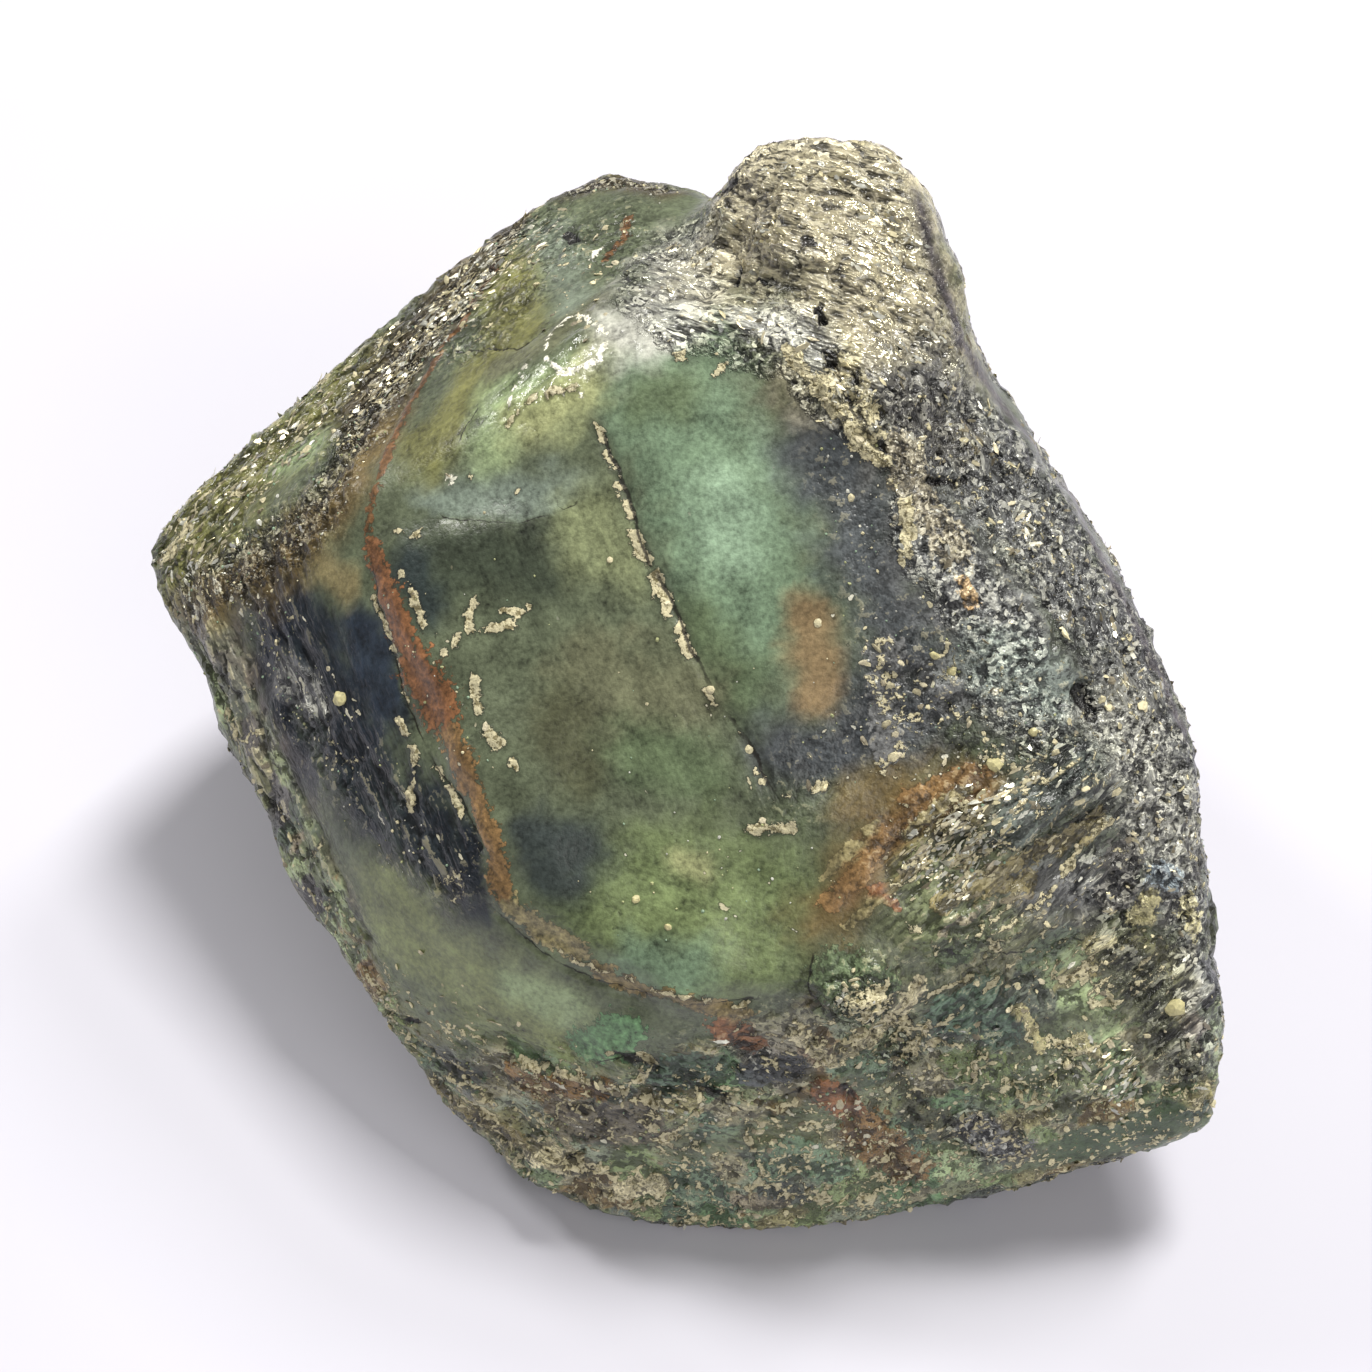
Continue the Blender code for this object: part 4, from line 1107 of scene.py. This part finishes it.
def make_skin(node):
    """The skin, with its relief and with what the shader reads from its points."""
    mesh = fine_stone(node)
    points, triangles = arrays_of(mesh)
    tree = BVHTree.FromPolygons(points.tolist(), triangles.tolist())
    closer_points(mesh, roughest(kinds_of_ground(points, normals_of(points, triangles), tree)))
    points, triangles = arrays_of(mesh)
    normals = normals_of(points, triangles)
    ground = kinds_of_ground(points, normals, tree)
    sides = sides_of(points, normals, tree)
    ground["tint"] = tints_of(points, tree, ground, sides)
    chip_tint, ground["chip"] = chips_of(points, tree, ground, sides)
    ground["way"] = way_at(points, ways_of(tree), ground)
    height, ground["rise_and_shade"], ground["fill"], lines = relief(points, ground)
    ground["light"] = light_of(points, ground, lines)
    points = box_of_points(points + normals * height[:, None])
    mesh.vertices.foreach_set("co", (points * MM).ravel())
    mesh.update()
    mesh.shade_smooth()
    give(mesh, "tint", "FLOAT_COLOR", ground["tint"])
    give(mesh, "chip_tint", "FLOAT_COLOR", chip_tint)
    for name in ("schist", "crust", "specks", "shine", "grit", "across", "near", "fill", "rise_and_shade", "chip",
                 "streak", "light"):
        give(mesh, name, "FLOAT", ground[name])
    give_faces(mesh, "way", ground["way"])
    give_faces(mesh, "foil", foil_lean(points, ground))
    skin = bpy.data.objects.new("emerald_skin", mesh)
    bpy.context.scene.collection.objects.link(skin)
    print("skin triangles", len(triangles))
    return skin, points, triangles, ground


# ---- grains and flakes ----
def grain_shape(rounds):
    """A small ball's points and triangles."""
    shape = bmesh.new()
    bmesh.ops.create_icosphere(shape, subdivisions=rounds, radius=1.0)
    points = np.array([vert.co[:] for vert in shape.verts])
    triangles = np.array([[vert.index for vert in face.verts] for face in shape.faces])
    shape.free()
    return points, triangles


def plate_shape(sides=6, thickness=0.16):
    """A thin plate with a few sides, its points and triangles."""
    turns = np.arange(sides) * 2 * math.pi / sides
    ring = np.stack([np.cos(turns), np.sin(turns)], axis=1)
    points = np.concatenate([
        np.column_stack([ring, np.full(sides, -thickness)]),
        np.column_stack([ring * 0.9, np.full(sides, thickness)]),
    ])
    triangles = []
    for side in range(sides):
        after = (side + 1) % sides
        triangles += [(side, after, sides + after), (side, sides + after, sides + side)]
    for side in range(1, sides - 1):
        triangles += [(0, side + 1, side), (sides, sides + side, sides + side + 1)]
    return points, np.array(triangles)


def turned_to(normals, chance, lean, along=None):
    """A frame for each grain: its third axis near the normal, its first by chance or along a direction."""
    up = normals + lean * chance.normal(size=normals.shape)
    up /= np.linalg.norm(up, axis=1)[:, None]
    side = chance.normal(size=up.shape)
    if along is not None:
        side = np.where(np.any(along != 0, axis=1)[:, None], along + 0.2 * side, side)
    side -= up * np.sum(side * up, axis=1)[:, None]
    side /= np.linalg.norm(side, axis=1)[:, None]
    return np.stack([side, np.cross(up, side), up], axis=2)


def scattered(name, shape, places, frames, sizes, tints, chance, lumpy):
    """One piece of many small closed grains. sizes has three half lengths for each."""
    points, triangles = shape
    count = len(places)
    lumps = 1 + lumpy * chance.normal(size=(count, len(points), 1))
    local = points[None] * np.clip(lumps, 0.55, 1.5) * sizes[:, None, :]
    spread = np.einsum("nij,nkj->nki", frames, local) + places[:, None, :]
    spread = box_of_points(spread.reshape(-1, 3))
    faces = (triangles[None] + (np.arange(count) * len(points))[:, None, None]).reshape(-1, 3)
    mesh = bpy.data.meshes.new(name)
    mesh.from_pydata((spread * MM).tolist(), [], faces.tolist())
    mesh.update()
    give(mesh, "tint", "FLOAT_COLOR", np.repeat(tints, len(points), axis=0))
    piece = bpy.data.objects.new(name, mesh)
    bpy.context.scene.collection.objects.link(piece)
    print(name, "triangles", len(faces))
    return piece


def strewn(points, triangles, field, count, chance):
    """Places, normals and nearest skin points for grains strewn where a field on the skin is high."""
    corners = points[triangles]
    faces = np.cross(corners[:, 1] - corners[:, 0], corners[:, 2] - corners[:, 0])
    area = np.linalg.norm(faces, axis=1)
    weight = area * field[triangles].mean(axis=1)
    chosen = chance.choice(len(triangles), size=count, p=weight / weight.sum())
    parts = chance.dirichlet((1, 1, 1), size=count)
    places = np.einsum("nk,nkj->nj", parts, corners[chosen])
    return places, faces[chosen] / area[chosen][:, None], triangles[chosen, 0]


def tints_like(names, count, chance, spread=0.14):
    """A colour for each grain, from a few palette names, each a little lighter or darker."""
    colours = np.array([colour_of(name) for name in names])
    chosen = colours[chance.integers(len(names), size=count)]
    return np.clip(chosen * (1 + spread * chance.normal(size=(count, 1))), 0.01, 0.9)


def make_flakes(points, triangles, ground, chance):
    """Mica flakes: thin plates lying nearly flat on the schist, and drawn out where the stone is."""
    field = ground["schist"] ** 1.5 * (0.2 + 0.5 * ground["shine"]) * ease_between(ground["rise_and_shade"], -0.3, 0.5)
    field += 0.9 * ground["specks"] ** 2 * ground["up"]
    places, normals, nearest = strewn(points, triangles, field, FLAKES, chance)
    across = 0.045 + 0.10 * chance.random(FLAKES) ** 2
    long = across * (1.3 + 2.6 * chance.random(FLAKES))
    sizes = np.stack([long, across, 0.5 * across], axis=1)
    frames = turned_to(normals, chance, 0.16, ground["way"][nearest])
    tints = tints_like(("silver", "knob_cream", "gleam", "cream", "beige"), FLAKES, chance)
    return scattered("mica_flakes", plate_shape(), places, frames, sizes, tints, chance, 0.14)


def make_crumbs(points, triangles, ground, chance):
    """Crumbs of the crust and of the cream ribbons: lumpy flat grains half sunk in the skin."""
    field = ground["crust"] ** 1.5 + 0.6 * ease_between(ground["fill"], 0.4, 0.8)
    places, normals, _ = strewn(points, triangles, field, CRUMBS, chance)
    size = 0.07 + 0.12 * chance.random(CRUMBS) ** 2
    sizes = size[:, None] * (0.7 + 0.7 * chance.random((CRUMBS, 3))) * np.array([1.3, 1.0, 0.38])
    frames = turned_to(normals, chance, 0.35)
    tints = tints_like(("cream", "beige", "knob_cream", "cream"), CRUMBS, chance)
    return scattered("crust_crumbs", grain_shape(2), places, frames, sizes, tints, chance, 0.16)


def make_specks(points, triangles, ground, chance):
    """The smallest pale specks, on the dark crystal."""
    places, normals, _ = strewn(points, triangles, ground["specks"] ** 2, PALE_SPECKS, chance)
    size = 0.035 + 0.07 * chance.random(PALE_SPECKS) ** 3
    sizes = size[:, None] * (0.8 + 0.5 * chance.random((PALE_SPECKS, 3)))
    frames = turned_to(normals, chance, 0.3)
    tints = tints_like(("cream", "silver", "mint_light", "yellow_green"), PALE_SPECKS, chance)
    return scattered("pale_specks", grain_shape(1), places, frames, sizes, tints, chance, 0.1)


def make_beads(tree, chance):
    """The few round grains that are large enough to tell apart."""
    places, normals, sizes, tints = [], [], [], []
    for _, name, size, spot in BEADS:
        place, normal, _, _ = tree.find_nearest(Vector(on_stone(tree, spot)))
        places.append(place[:])
        normals.append(normal[:])
        sizes.append(size * (0.75 + 0.4 * chance.random(3)) * np.array([1.0, 1.0, 0.5]))
        tints.append(colour_of(name))
    frames = turned_to(np.array(normals), chance, 0.2)
    return scattered("round_grains", grain_shape(2), np.array(places), frames, np.array(sizes),
                     np.array(tints), chance, 0.10)


# ---- materials ----
class Finish:
    """Short ways to add one material's nodes. Vectors and heights are in millimetres."""

    def __init__(self, name):
        self.material = bpy.data.materials.new(name)
        self.material.use_nodes = True
        self.tree = self.material.node_tree
        self.surface = self.tree.nodes["Principled BSDF"]
        place = self.put("ShaderNodeTexCoord").outputs["Object"]
        self.place = self.vector("SCALE", place, scale=1 / MM)

    def put(self, kind, **settings):
        node = self.tree.nodes.new(kind)
        for name, value in settings.items():
            setattr(node, name, value)
        return node

    def feed(self, socket, value):
        """Links a socket to another, or sets it to a number or colour."""
        if isinstance(value, bpy.types.NodeSocket):
            self.tree.links.new(value, socket)
        elif isinstance(value, (int, float)):
            socket.default_value = value
        else:
            values = [float(part) for part in value]
            socket.default_value = values + [1.0] if len(socket.default_value) == 4 else values

    def read(self, name, output="Fac"):
        """What the mesh's points carry under a name."""
        node = self.put("ShaderNodeAttribute", attribute_name=name, attribute_type="GEOMETRY")
        return node.outputs[output]

    def vector(self, operation, first, second=None, scale=None):
        node = self.put("ShaderNodeVectorMath", operation=operation)
        self.feed(node.inputs[0], first)
        if second is not None:
            self.feed(node.inputs[1], second)
        if scale is not None:
            self.feed(node.inputs["Scale"], scale)
        return node.outputs[0]

    def maths(self, operation, first, second=0.0):
        node = self.put("ShaderNodeMath", operation=operation)
        self.feed(node.inputs[0], first)
        self.feed(node.inputs[1], second)
        return node.outputs[0]

    def add(self, *terms):
        total = terms[0]
        for term in terms[1:]:
            total = self.maths("ADD", total, term)
        return total

    def times(self, *factors):
        total = factors[0]
        for factor in factors[1:]:
            total = self.maths("MULTIPLY", total, factor)
        return total

    def swing(self, value, amount):
        """A value round a half, made to swing round nothing by an amount."""
        return self.times(self.maths("SUBTRACT", value, 0.5), amount)

    def step(self, value, low, high):
        """0 at low, 1 at high and smooth between."""
        node = self.put("ShaderNodeMapRange", interpolation_type="SMOOTHSTEP", clamp=True)
        turned = low > high
        ends = (min(low, high), max(low, high), float(turned), float(not turned))
        for socket, number in zip(node.inputs[1:5], ends):
            socket.default_value = number
        self.feed(node.inputs[0], value)
        return node.outputs[0]

    def noise(self, size, detail=3.0, rough=0.55, place=None):
        node = self.put("ShaderNodeTexNoise")
        self.feed(node.inputs["Vector"], self.place if place is None else place)
        node.inputs["Scale"].default_value = 1 / size
        node.inputs["Detail"].default_value = detail
        node.inputs["Roughness"].default_value = rough
        return node.outputs["Fac"]

    def bend(self, size):
        """A smooth random shift for each place, for bending a pattern."""
        node = self.put("ShaderNodeTexNoise")
        self.feed(node.inputs["Vector"], self.place)
        node.inputs["Scale"].default_value = 1 / size
        node.inputs["Detail"].default_value = 0.0
        return self.vector("SUBTRACT", node.outputs["Color"], (0.5, 0.5, 0.5))

    def pressed(self, way):
        """Places pressed together along a direction, which draws a pattern out that way."""
        node = self.put("ShaderNodeVectorMath", operation="DOT_PRODUCT")
        self.feed(node.inputs[0], self.place)
        self.feed(node.inputs[1], way)
        amount = self.times(node.outputs["Value"], DRAWN_OUT)
        return self.vector("SUBTRACT", self.place, self.vector("SCALE", way, scale=amount))

    def cells(self, size, place=None):
        """Scattered cells: how far from the middle of one, and a colour for each."""
        node = self.put("ShaderNodeTexVoronoi")
        self.feed(node.inputs["Vector"], self.place if place is None else place)
        node.inputs["Scale"].default_value = 1 / size
        return node.outputs["Distance"], node.outputs["Color"]

    def channels(self, colour):
        """A colour's red, green and blue."""
        node = self.put("ShaderNodeSeparateColor")
        self.feed(node.inputs[0], colour)
        return node.outputs[:3]

    def mix(self, share, first, second, blend="MIX"):
        node = self.put("ShaderNodeMix", data_type="RGBA", blend_type=blend)
        self.feed(node.inputs["Factor"], share)
        self.feed(node.inputs[6], first)
        self.feed(node.inputs[7], second)
        return node.outputs[2]

    def ramp(self, value, stops):
        """A colour for a value, from places and colours along the way."""
        node = self.put("ShaderNodeValToRGB")
        marks = node.color_ramp.elements
        while len(marks) < len(stops):
            marks.new(0.5)
        for mark, (place, colour) in zip(marks, stops):
            mark.position = place
            mark.color = [*colour, 1.0]
        self.feed(node.inputs[0], value)
        return node.outputs[0]

    def lighter(self, colour, factor):
        """A colour made lighter or darker by a factor."""
        return self.vector("SCALE", colour, scale=factor)

    def finish(self, colour, roughness, height=None, lean=None, metal=0.0):
        """Joins the colour, the roughness, and a height in millimetres, to the surface."""
        self.feed(self.surface.inputs["Base Color"], colour)
        self.feed(self.surface.inputs["Roughness"], roughness)
        self.feed(self.surface.inputs["Metallic"], metal)
        if height is None:
            return self.material
        bump = self.put("ShaderNodeBump")
        bump.inputs["Strength"].default_value = 1.0
        bump.inputs["Distance"].default_value = MM
        self.feed(bump.inputs["Height"], height)
        normal = bump.outputs["Normal"]
        if lean is not None:
            normal = self.vector("NORMALIZE", self.vector("ADD", normal, lean))
        self.feed(self.surface.inputs["Normal"], normal)
        return self.material


def stone_finish():
    """The stone's own surface: mottled crystal, mica schist, cream crust, pale flecks and cracks."""
    made = Finish("stone")
    tint = made.read("tint", "Color")
    schist, crust, specks = made.read("schist"), made.read("crust"), made.read("specks")
    shine, grit, streak = made.read("shine"), made.read("grit"), made.read("streak")
    across, near, fill = made.read("across"), made.read("near"), made.read("fill")
    rise_and_shade = made.read("rise_and_shade")
    cream_colour, gleam_colour = colour_of("cream"), colour_of("gleam")

    drawn = made.pressed(made.read("way", "Vector"))
    fine = made.noise(FINE_SIZE, 2.0, 0.68)
    grain = made.noise(GRAIN_SIZE, 2.0, 0.66, place=drawn)
    streaks = made.times(streak, made.swing(grain, 2.3))
    brightness = made.add(made.read("light"), made.swing(fine, 1.7), streaks)
    ragged_chip = made.add(made.read("chip"), made.swing(fine, 0.7), made.swing(grain, 0.8))
    chip_share = made.step(ragged_chip, 0.44, 0.56)
    mottle = made.add(1.0, made.swing(grain, 2.2), made.swing(fine, 1.0))
    chip = made.lighter(made.read("chip_tint", "Color"), mottle)
    tint = made.mix(made.times(chip_share, 0.94), tint, chip)
    colour = made.lighter(tint, brightness)
    # Painted shade: a dark line round each chip's edge, like a shadow line.
    rim = made.times(chip_share, made.maths("SUBTRACT", 1.0, chip_share), 3.0)
    colour = made.mix(rim, colour, made.lighter(tint, 0.35))
    # Painted shade in the gaps and painted light on the tops of rough ground, from its relief, mixed with
    # random dark and pale flecks.
    rise_shade_and_flecks = made.add(made.times(rise_and_shade, 0.7), made.swing(grain, 3.6), made.swing(fine, 1.6))
    dark_fleck_and_gap_shade = made.times(made.step(rise_shade_and_flecks, -0.28, -0.52), grit)
    colour = made.mix(made.times(dark_fleck_and_gap_shade, 0.88), colour, made.lighter(tint, 0.20))
    pale_fleck_and_top_light = made.times(made.step(rise_shade_and_flecks, 0.28, 0.48), grit)
    pale = made.mix(0.6, made.lighter(tint, 1.9), cream_colour)
    colour = made.mix(made.times(pale_fleck_and_top_light, 0.85), colour, pale)

    schist_share = made.step(made.add(schist, made.swing(fine, 0.5)), 0.32, 0.58)
    loose = made.maths("SUBTRACT", 1.25, made.times(shine, 0.6))
    # The schist's grains come out darker in its low places and lighter on its high ones: partly painted shade
    # and painted light, partly the grains' own random tone.
    salt = made.add(0.5, made.times(made.swing(grain, 1.0), loose), made.times(rise_and_shade, 0.10),
                    made.times(shine, 0.02))
    dark = made.ramp(salt, [(0.36, (0.12, 0.12, 0.13)), (0.45, (0.70, 0.70, 0.72)), (0.52, (1.0, 1.0, 0.98))])
    rock = made.mix(1.0, tint, dark, "MULTIPLY")
    bright = made.mix(0.35, made.lighter(tint, 1.9), gleam_colour)
    rock = made.mix(made.times(made.step(salt, 0.51, 0.61), 0.85), rock, bright)
    shifted = made.vector("ADD", drawn, made.vector("SCALE", made.bend(0.5), scale=0.35))
    _, flake = made.cells(FLAKE_SIZE, place=shifted)
    chance = made.add(made.channels(flake)[0], made.swing(fine, 0.6))
    calm = made.maths("SUBTRACT", 1.0, made.times(shine, 0.6))
    # Painted glints: a few chosen mica cells are painted near white, partly the mica's own pale colour.
    glint = made.mix(0.5, made.lighter(tint, 2.6), gleam_colour)
    rock = made.mix(made.times(made.step(chance, 0.82, 0.86), calm, 0.9), rock, glint)
    rock = made.mix(made.times(made.step(chance, 0.18, 0.14), calm, 0.6), rock, made.lighter(tint, 0.12))
    colour = made.mix(made.times(schist_share, 0.95), colour, rock)

    crumbly = made.add(crust, made.swing(grain, 1.6), made.swing(fine, 0.8))
    # Painted shade: a dark ring round the cream crumbs.
    colour = made.mix(made.times(made.step(crumbly, 0.50, 0.60), grit, 0.6), colour, made.lighter(tint, 0.25))
    filled = made.add(fill, made.swing(fine, 1.1))
    # Painted shadow: dark thin edges along the cream ribbons.
    colour = made.mix(made.times(made.step(filled, 0.22, 0.38), 0.6), colour, made.lighter(tint, 0.3))
    cream_share = made.maths("MAXIMUM", made.step(crumbly, 0.64, 0.76), made.step(filled, 0.44, 0.54))
    cream = made.mix(made.step(fine, 0.40, 0.52), colour_of("tan"), cream_colour)
    cream = made.lighter(cream, made.add(1.0, made.swing(grain, 1.6)))
    colour = made.mix(made.times(cream_share, 0.88), colour, cream)

    distance, cell = made.cells(FLECK_SIZE, place=shifted)
    picked = made.channels(cell)
    inside = made.maths("SUBTRACT", made.add(0.06, made.times(picked[1], specks, 0.34)),
                         made.add(distance, made.swing(fine, 0.4)))
    chosen = made.step(made.maths("SUBTRACT", specks, picked[0]), 0.02, 0.10)
    # Painted shadow: a dark ring round each pale fleck.
    fleck_shade_ring = made.times(made.step(inside, -0.10, -0.02), chosen, 0.6)
    colour = made.mix(fleck_shade_ring, colour, made.lighter(tint, 0.3))
    fleck_share = made.times(made.step(inside, 0.0, 0.05), chosen)
    fleck = made.mix(picked[2], cream_colour, gleam_colour)
    colour = made.mix(made.times(fleck_share, 0.9), colour, fleck)

    gap = made.add(made.maths("ABSOLUTE", across), made.swing(fine, 1.2))
    line = made.times(made.step(gap, 0.8, 0.3), near)
    colour = made.mix(made.times(line, 0.85), colour, (0.012, 0.010, 0.008))

    mica = made.times(schist_share, made.step(salt, 0.46, 0.56), made.add(0.25, made.times(shine, 0.75)))
    roughness = made.add(0.38, made.times(cream_share, 0.28), made.swing(fine, 0.30),
                         made.times(grit, -0.06), made.times(shine, -0.22))
    height = made.add(made.times(fine, 0.040), made.times(grain, streak, 0.07),
                      made.times(schist_share, grain, 0.34), made.times(cream_share, 0.07),
                      made.times(cream_share, fine, 0.08), made.times(grain, grit, 0.26))
    facet = made.vector("SCALE", made.vector("SUBTRACT", flake, (0.5, 0.5, 0.5)),
                        scale=made.times(schist_share, calm, 0.75))
    lean = made.vector("ADD", facet, made.read("foil", "Vector"))
    surface = made.surface.inputs
    surface["Coat Weight"].default_value = 0.15
    surface["Coat Roughness"].default_value = 0.12
    metal = made.times(mica, made.add(0.45, made.times(shine, 0.3)))
    return made.finish(colour, roughness, height, lean, metal)


def grain_finish(name, roughness, metal, size, depth):
    """A finish for loose grains: each grain's own colour, mottled, with a fine rough surface."""
    made = Finish(name)
    tint = made.read("tint", "Color")
    fine = made.noise(size, 1.0, 0.6)
    coarse = made.noise(size * 3, 1.0, 0.6)
    colour = made.lighter(tint, made.add(1.0, made.swing(fine, 0.9), made.swing(coarse, 0.6)))
    height = made.times(fine, depth)
    return made.finish(colour, made.add(roughness, made.swing(coarse, 0.3)), height, metal=metal)


# ---- the studio ----
def add_camera():
    data = bpy.data.cameras.new("camera")
    data.sensor_width = SENSOR
    data.lens = SENSOR * FOCAL_PIXELS / PICTURE_SIDE
    data.clip_start = 0.005
    camera = bpy.data.objects.new("camera", data)
    camera.location = CAMERA_PLACE * MM
    camera.rotation_euler = (math.pi / 2 - LOOK_DOWN, 0, 0)
    bpy.context.scene.collection.objects.link(camera)
    bpy.context.scene.camera = camera


def add_soft_light(name, place, size, power, colour):
    """A square area light that looks at the stone."""
    data = bpy.data.lights.new(name, "AREA")
    data.size = size
    data.energy = power
    data.color = colour
    light = bpy.data.objects.new(name, data)
    light.location = place
    light.rotation_euler = (Vector(AIM) - Vector(place)).to_track_quat("-Z", "Y").to_euler()
    bpy.context.scene.collection.objects.link(light)


def add_floor():
    mesh = bpy.data.meshes.new("floor")
    corners = [(x * FLOOR_SIDE, y * FLOOR_SIDE, 0) for x, y in ((-1, -1), (1, -1), (1, 1), (-1, 1))]
    mesh.from_pydata(corners, [], [(0, 1, 2, 3)])
    floor = bpy.data.objects.new("floor", mesh)
    bpy.context.scene.collection.objects.link(floor)
    made = Finish("pale floor")
    cloud = made.noise(FLOOR_CLOUDS, 0.0, 0.5)
    paper = made.lighter(FLOOR_COLOUR, made.add(1.0, made.swing(cloud, 0.08)))
    mesh.materials.append(made.finish(paper, 0.75))


def add_studio():
    world = bpy.data.worlds.new("studio")
    world.use_nodes = True
    background = world.node_tree.nodes["Background"]
    background.inputs["Color"].default_value = WORLD_COLOUR
    background.inputs["Strength"].default_value = WORLD_STRENGTH
    bpy.context.scene.world = world
    for row in LIGHTS:
        add_soft_light(*row)
    add_floor()
    bpy.context.scene.view_settings.view_transform = "Standard"


def main():
    add_camera()
    chance = np.random.default_rng(SEED)
    skin, points, triangles, ground = make_skin(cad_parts[NODE])
    skin.data.materials.append(stone_finish())
    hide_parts(NODE)
    tree = BVHTree.FromPolygons(points.tolist(), triangles.tolist())
    flakes = make_flakes(points, triangles, ground, chance)
    flakes.data.materials.append(grain_finish("mica", 0.34, 0.55, 0.25, 0.02))
    crumbs = make_crumbs(points, triangles, ground, chance)
    crumbs.data.materials.append(grain_finish("crust", 0.62, 0.0, 0.12, 0.03))
    specks = make_specks(points, triangles, ground, chance)
    specks.data.materials.append(grain_finish("specks", 0.5, 0.0, 0.10, 0.01))
    beads = make_beads(tree, chance)
    beads.data.materials.append(grain_finish("round grains", 0.42, 0.0, 0.15, 0.02))
    for piece in (skin, flakes, crumbs, specks, beads):
        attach(piece, BODY)
    add_studio()


main()
